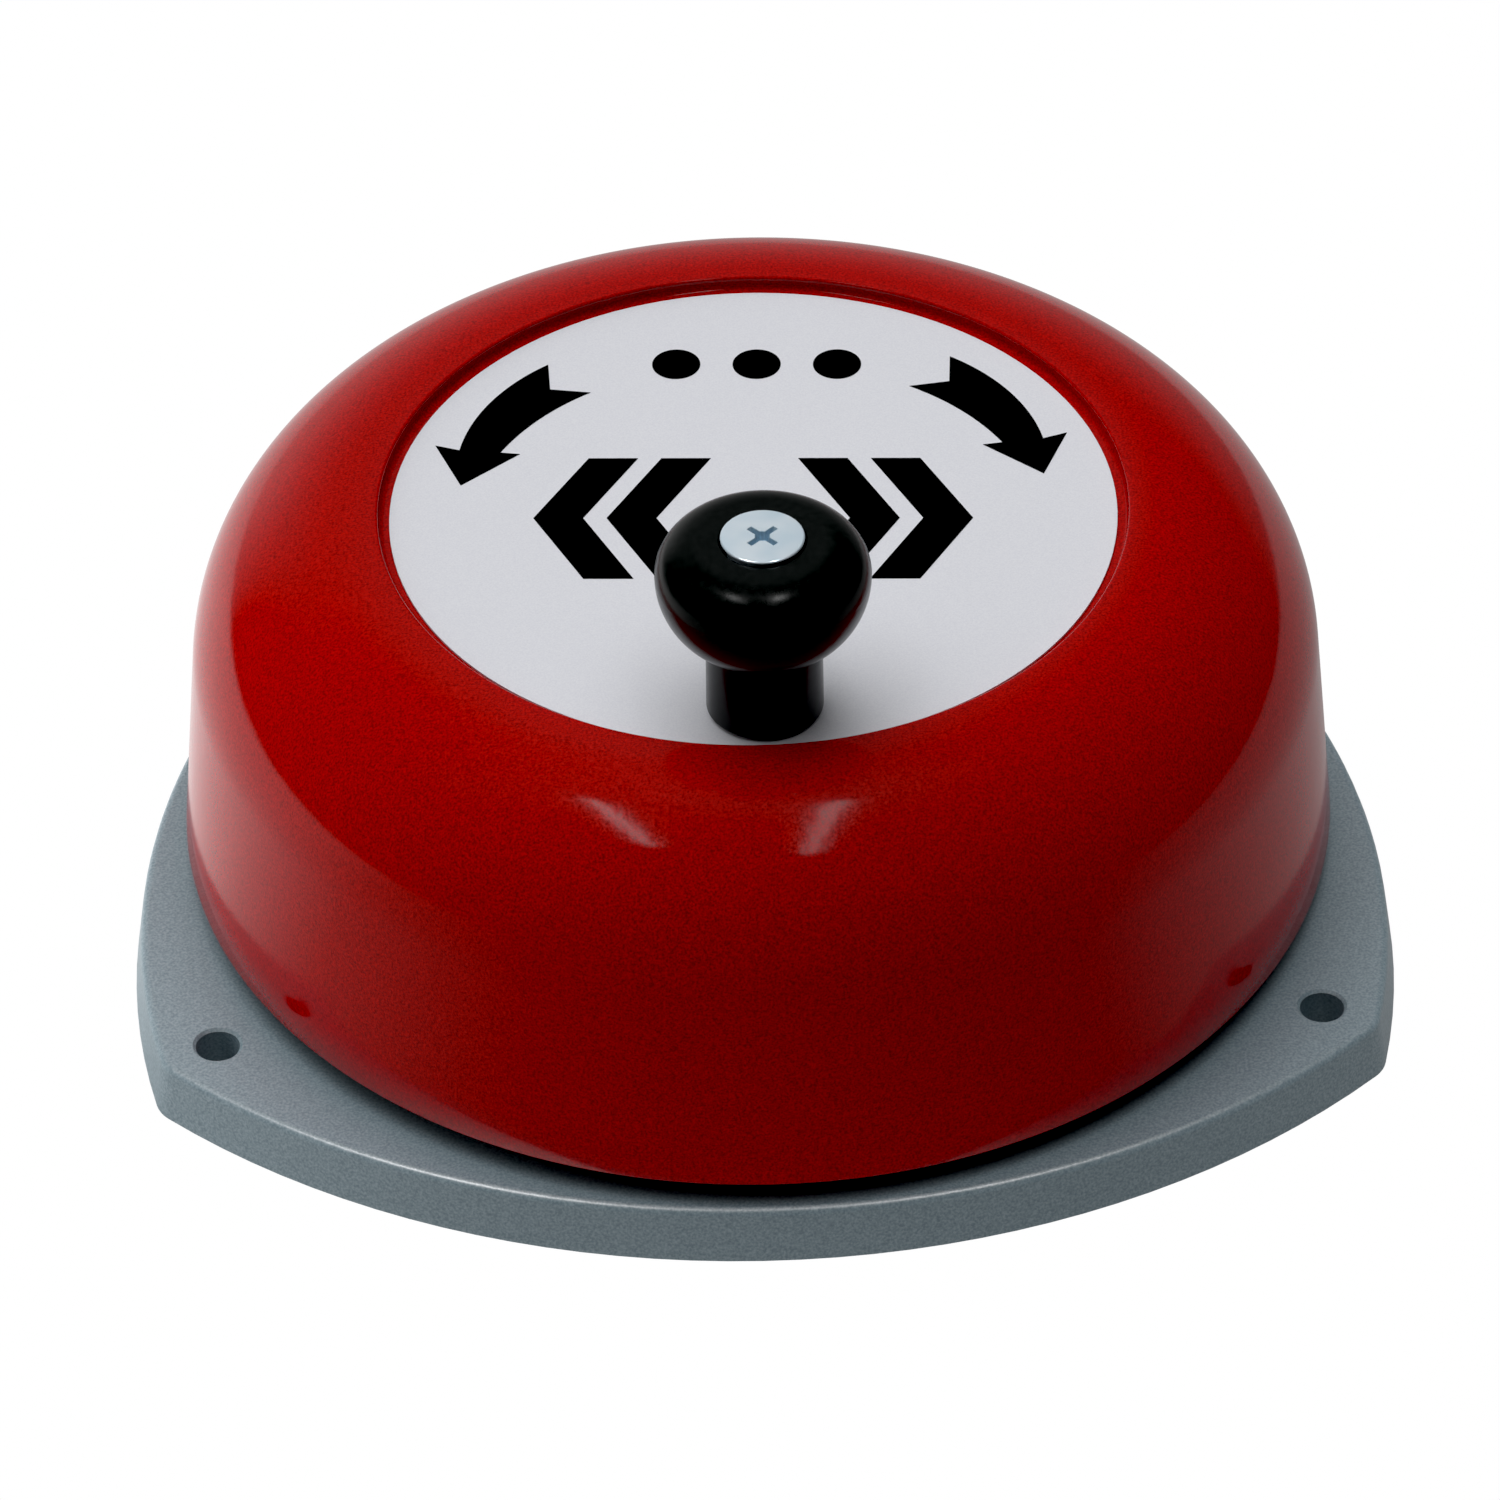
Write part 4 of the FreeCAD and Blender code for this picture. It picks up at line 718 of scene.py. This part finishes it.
MIRROR_TABLE = [(-180, 0.4), (-150, 0.65), (-140, 0.75), (-126, 0.95), (-107, 0.92), (-90, 0.78),
                (-80, 0.62), (-66, 0.35), (-30, 0.2), (0, 0.13), (30, 0.13), (60, 0.28),
                (75, 0.33), (104, 0.36), (120, 0.38), (150, 0.5), (180, 0.4)]
MIRROR_ROOM = [
    (5, [(-180, 0.3), (-150, 0.5), (-138, 0.25), (-130, 0.0), (-100, 0.05), (-60, 0.02),
         (0, 0.16), (60, 0.1), (120, 0.03), (150, 0.2), (180, 0.3)]),
    (30, [(-180, 0.24), (-150, 0.2), (-120, 0.08), (-110, 0.03), (-90, 0.1), (-60, 0.15),
          (90, 0.1), (120, 0.04), (150, 0.06), (165, 0.15), (180, 0.24)]),
    (52, [(-180, 0.36), (-165, 0.25), (-148, 0.08), (-120, 0.08), (-90, 0.28), (-60, 0.18),
          (130, 0.12), (154, 0.12), (165, 0.2), (180, 0.36)]),
    (74, [(-180, 0.15), (180, 0.15)])]
BLACK_LEVEL = 0.01


def azimuth_ramp(tree, vector, stops):
    """The brightness for the azimuth of a direction or a place."""
    parts = add(tree, "ShaderNodeSeparateXYZ", {"Vector": vector})
    front = add(tree, "ShaderNodeMath", {0: parts.outputs["Y"], 1: -1.0}, operation="MULTIPLY")
    turn = add(tree, "ShaderNodeMath", {0: parts.outputs["X"], 1: front.outputs[0]},
               operation="ARCTAN2")
    share = add(tree, "ShaderNodeMapRange",
                {"Value": turn.outputs[0], "From Min": -math.pi, "From Max": math.pi})
    ramp = add(tree, "ShaderNodeValToRGB", {"Fac": share.outputs["Result"]})
    set_stops(ramp, [((angle + 180) / 360, (level, level, level, 1.0))
                     for angle, level in stops])
    return ramp.outputs["Color"]


def room_light(tree, way, rings):
    """The room's brightness: each height has its ring, and between two heights they blend."""
    rise = add(tree, "ShaderNodeSeparateXYZ", {"Vector": way}).outputs["Z"]
    light, below = None, None
    for height, stops in rings:
        level = math.sin(math.radians(height))
        ring = azimuth_ramp(tree, way, stops)
        if light is not None:
            share = add(tree, "ShaderNodeMapRange",
                        {"Value": rise, "From Min": below, "From Max": level})
            ring = add(tree, "ShaderNodeMix", {0: share.outputs["Result"], 6: light, 7: ring},
                       data_type="RGBA").outputs[2]
        light, below = ring, level
    return light


def light_paths(tree, soft, mirror, kind):
    """Glows with the mirrored light to gloss and with the soft light to dull surfaces, and
    shows pure white to the camera."""
    path = add(tree, "ShaderNodeLightPath").outputs
    glow = add(tree, "ShaderNodeMix", {0: path["Is Glossy Ray"], 6: soft, 7: mirror},
               data_type="RGBA").outputs[2]
    lit = add(tree, kind, {"Color": glow, "Strength": 1.0})
    white = add(tree, kind, {"Color": (1.0, 1.0, 1.0, 1.0), "Strength": 1.0})
    return add(tree, "ShaderNodeMixShader",
               {0: path["Is Camera Ray"], 1: lit.outputs[0], 2: white.outputs[0]}).outputs[0]


def make_world():
    """The room round the table."""
    world = bpy.data.worlds.new("studio")
    bpy.context.scene.world = world
    world.use_nodes = True
    tree = world.node_tree
    tree.nodes.clear()
    way = add(tree, "ShaderNodeTexCoord").outputs["Generated"]
    soft = room_light(tree, way, SOFT_ROOM)
    mirror = room_light(tree, way, MIRROR_ROOM)
    shown = light_paths(tree, soft, mirror, "ShaderNodeBackground")
    add(tree, "ShaderNodeOutputWorld", {"Surface": shown})


# The base's three sides are arcs of circles: their radius, how far their centres are from the
# spindle, and how far the floor reaches in under them, in millimetres
BASE_SIDE_RADIUS, BASE_SIDE_OFFSET, FLOOR_REACH = 151.2, 48.5, 1.0
# The floor in metres: half its width, and how far it lies under the base
FLOOR_HALF, FLOOR_DROP = 0.62, 0.0004


def outside_base(tree, spot):
    """One on the floor outside the base and nothing under it. The base's outline is where
    three circles overlap, so a place outside it is further than their radius from the centre
    of at least one."""
    furthest = None
    for turn in np.radians(THIRDS):
        centre = Vector((math.cos(turn), math.sin(turn), 0)) * BASE_SIDE_OFFSET * MM
        away = add(tree, "ShaderNodeVectorMath", {0: spot, 1: centre}, operation="DISTANCE")
        distance = away.outputs["Value"]
        if furthest is not None:
            distance = add(tree, "ShaderNodeMath", {0: furthest, 1: distance},
                           operation="MAXIMUM").outputs[0]
        furthest = distance
    return add(tree, "ShaderNodeMath", {0: furthest, 1: (BASE_SIDE_RADIUS - FLOOR_REACH) * MM},
               operation="GREATER_THAN").outputs[0]


def make_floor():
    """A plain pale table top that glows as if it were lit. It is clear from below. Under the
    base it shows black to the camera from above, as a painted shadow, and lets the room's light
    through to the underside."""
    mesh = bpy.data.meshes.new("floor")
    corners = [(-1, -1), (1, -1), (1, 1), (-1, 1)]
    mesh.from_pydata([(x * FLOOR_HALF, y * FLOOR_HALF, -FLOOR_DROP) for x, y in corners],
                     [], [(0, 1, 2, 3)])
    floor = bpy.data.objects.new("floor", mesh)
    bpy.context.scene.collection.objects.link(floor)
    material, tree, spot = start_material("pale_floor")
    soft = azimuth_ramp(tree, spot, SOFT_TABLE)
    mirror = azimuth_ramp(tree, spot, MIRROR_TABLE)
    above = light_paths(tree, soft, mirror, "ShaderNodeEmission")
    clear = add(tree, "ShaderNodeBsdfTransparent").outputs[0]
    # Painted shadow: inside the base's outline the floor shows black to the camera, standing in
    # for the shade under the base
    dark = add(tree, "ShaderNodeEmission", {"Strength": 0.0}).outputs[0]
    seen = add(tree, "ShaderNodeLightPath").outputs["Is Camera Ray"]
    under = add(tree, "ShaderNodeMixShader", {0: seen, 1: clear, 2: dark}).outputs[0]
    top = add(tree, "ShaderNodeMixShader",
              {0: outside_base(tree, spot), 1: under, 2: above}).outputs[0]
    side = add(tree, "ShaderNodeNewGeometry").outputs["Backfacing"]
    shown = add(tree, "ShaderNodeMixShader", {0: side, 1: top, 2: clear})
    add(tree, "ShaderNodeOutputMaterial", {"Surface": shown.outputs[0]})
    mesh.materials.append(material)


# The lamps: (name, place in metres, width, length, power in watts, pieces that it shows on or
# none where it shows on all)
LAMP_HEIGHT = 1.6
LAMPS = [
    ("lamp_left", (-0.47, -0.32), 0.06, 0.68, 0.68, ()),
    ("lamp_right", (0.2, -0.38), 0.06, 0.9, 0.7, ()),
    ("knob_lamp_left", (-0.55, -0.3), 0.06, 0.3, 1.7, ("knob",)),
    ("knob_lamp_right", (0.26, -0.3), 0.06, 0.3, 1.7, ("knob",)),
    ("edge_lamp_left", (-0.66, -0.32), 0.5, 0.6, 18.0, ("base_plate", "cross_recess_screw")),
    ("edge_lamp_right", (0.42, -0.32), 0.15, 0.6, 8.0, ("base_plate", "cross_recess_screw"))]


def make_lamp(name, place, wide, long, power, pieces):
    """A flat lamp at the ceiling, facing down. Where it shows on some pieces only, it adds
    gloss to them and no other light."""
    light = bpy.data.lights.new(name, "AREA")
    light.shape, light.size, light.size_y, light.energy = "RECTANGLE", wide, long, power
    lamp = bpy.data.objects.new(name, light)
    lamp.location = (*place, LAMP_HEIGHT)
    lamp.visible_camera = False
    bpy.context.scene.collection.objects.link(lamp)
    if pieces:
        shown = bpy.data.collections.new(name + "_shows_on")
        for piece in pieces:
            shown.objects.link(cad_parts.get(piece) or bpy.data.objects[piece])
        lamp.light_linking.receiver_collection = shown
        lamp.visible_diffuse = False


# The camera, by degrees round the bell towards +X from its front, over the floor and of roll,
# and the point that it looks at in millimetres
CAMERA_AZIMUTH, CAMERA_ELEVATION, CAMERA_ROLL = -1.54, 39.9, -0.985
LOOK_AT = (-1.25, 0, 25.75)
SENSOR_WIDTH, FOCAL_LENGTH = 36.0, 220.42
CLIP_START, CLIP_END = 0.05, 20.0


def make_camera():
    """The camera stands where the photograph was taken from: its place and roll come from the
    rims, corners and holes that the photograph shows."""
    scene = bpy.context.scene
    turned = Matrix()
    for degrees, axis in ((CAMERA_AZIMUTH, "Z"), (90 - CAMERA_ELEVATION, "X"), (CAMERA_ROLL, "Z")):
        turned = turned @ Matrix.Rotation(math.radians(degrees), 4, axis)
    back_off = Matrix.Translation((0, 0, scene.bell_stage.camera_distance))
    camera = bpy.data.cameras.new("camera")
    camera.sensor_width, camera.lens = SENSOR_WIDTH, FOCAL_LENGTH
    camera.clip_start, camera.clip_end = CLIP_START, CLIP_END
    stand = bpy.data.objects.new("camera", camera)
    stand.matrix_world = Matrix.Translation(Vector(LOOK_AT) * MM) @ turned @ back_off
    scene.collection.objects.link(stand)
    scene.camera = stand


def develop(settings):
    """Shows colours as they are, but with the photograph's deep blacks."""
    settings.view_transform = "Standard"
    settings.use_curve_mapping = True
    settings.curve_mapping.black_level = (BLACK_LEVEL,) * 3
    settings.curve_mapping.update()


class BELL_OT_stage(Operator):
    """Sets the floor, the lights and the camera"""
    bl_idname = "bell.stage"
    bl_label = "Set the stage"

    def execute(self, context):
        make_floor()
        make_world()
        for lamp in LAMPS:
            make_lamp(*lamp)
        make_camera()
        develop(context.scene.view_settings)
        return {"FINISHED"}


class BELL_PT_panel(Panel):
    bl_idname = "BELL_PT_panel"
    bl_label = "Rotary fire bell"
    bl_space_type = "VIEW_3D"
    bl_region_type = "UI"
    bl_category = "Bell"

    def draw(self, context):
        for operator in OPERATORS:
            self.layout.operator(operator.bl_idname)


OPERATORS = (BELL_OT_base, BELL_OT_gong, BELL_OT_face, BELL_OT_knob, BELL_OT_works,
             BELL_OT_stage)
CLASSES = (BellFinish, BellStage) + OPERATORS + (BELL_PT_panel,)


def register():
    for item in CLASSES:
        bpy.utils.register_class(item)
    bpy.types.Scene.bell_finish = PointerProperty(type=BellFinish)
    bpy.types.Scene.bell_stage = PointerProperty(type=BellStage)


def unregister():
    del bpy.types.Scene.bell_stage
    del bpy.types.Scene.bell_finish
    for item in reversed(CLASSES):
        bpy.utils.unregister_class(item)


def main():
    register()
    bpy.ops.bell.base()
    bpy.ops.bell.gong()
    bpy.ops.bell.face()
    bpy.ops.bell.knob()
    bpy.ops.bell.works()
    bpy.ops.bell.stage()


if __name__ == "__main__":
    main()
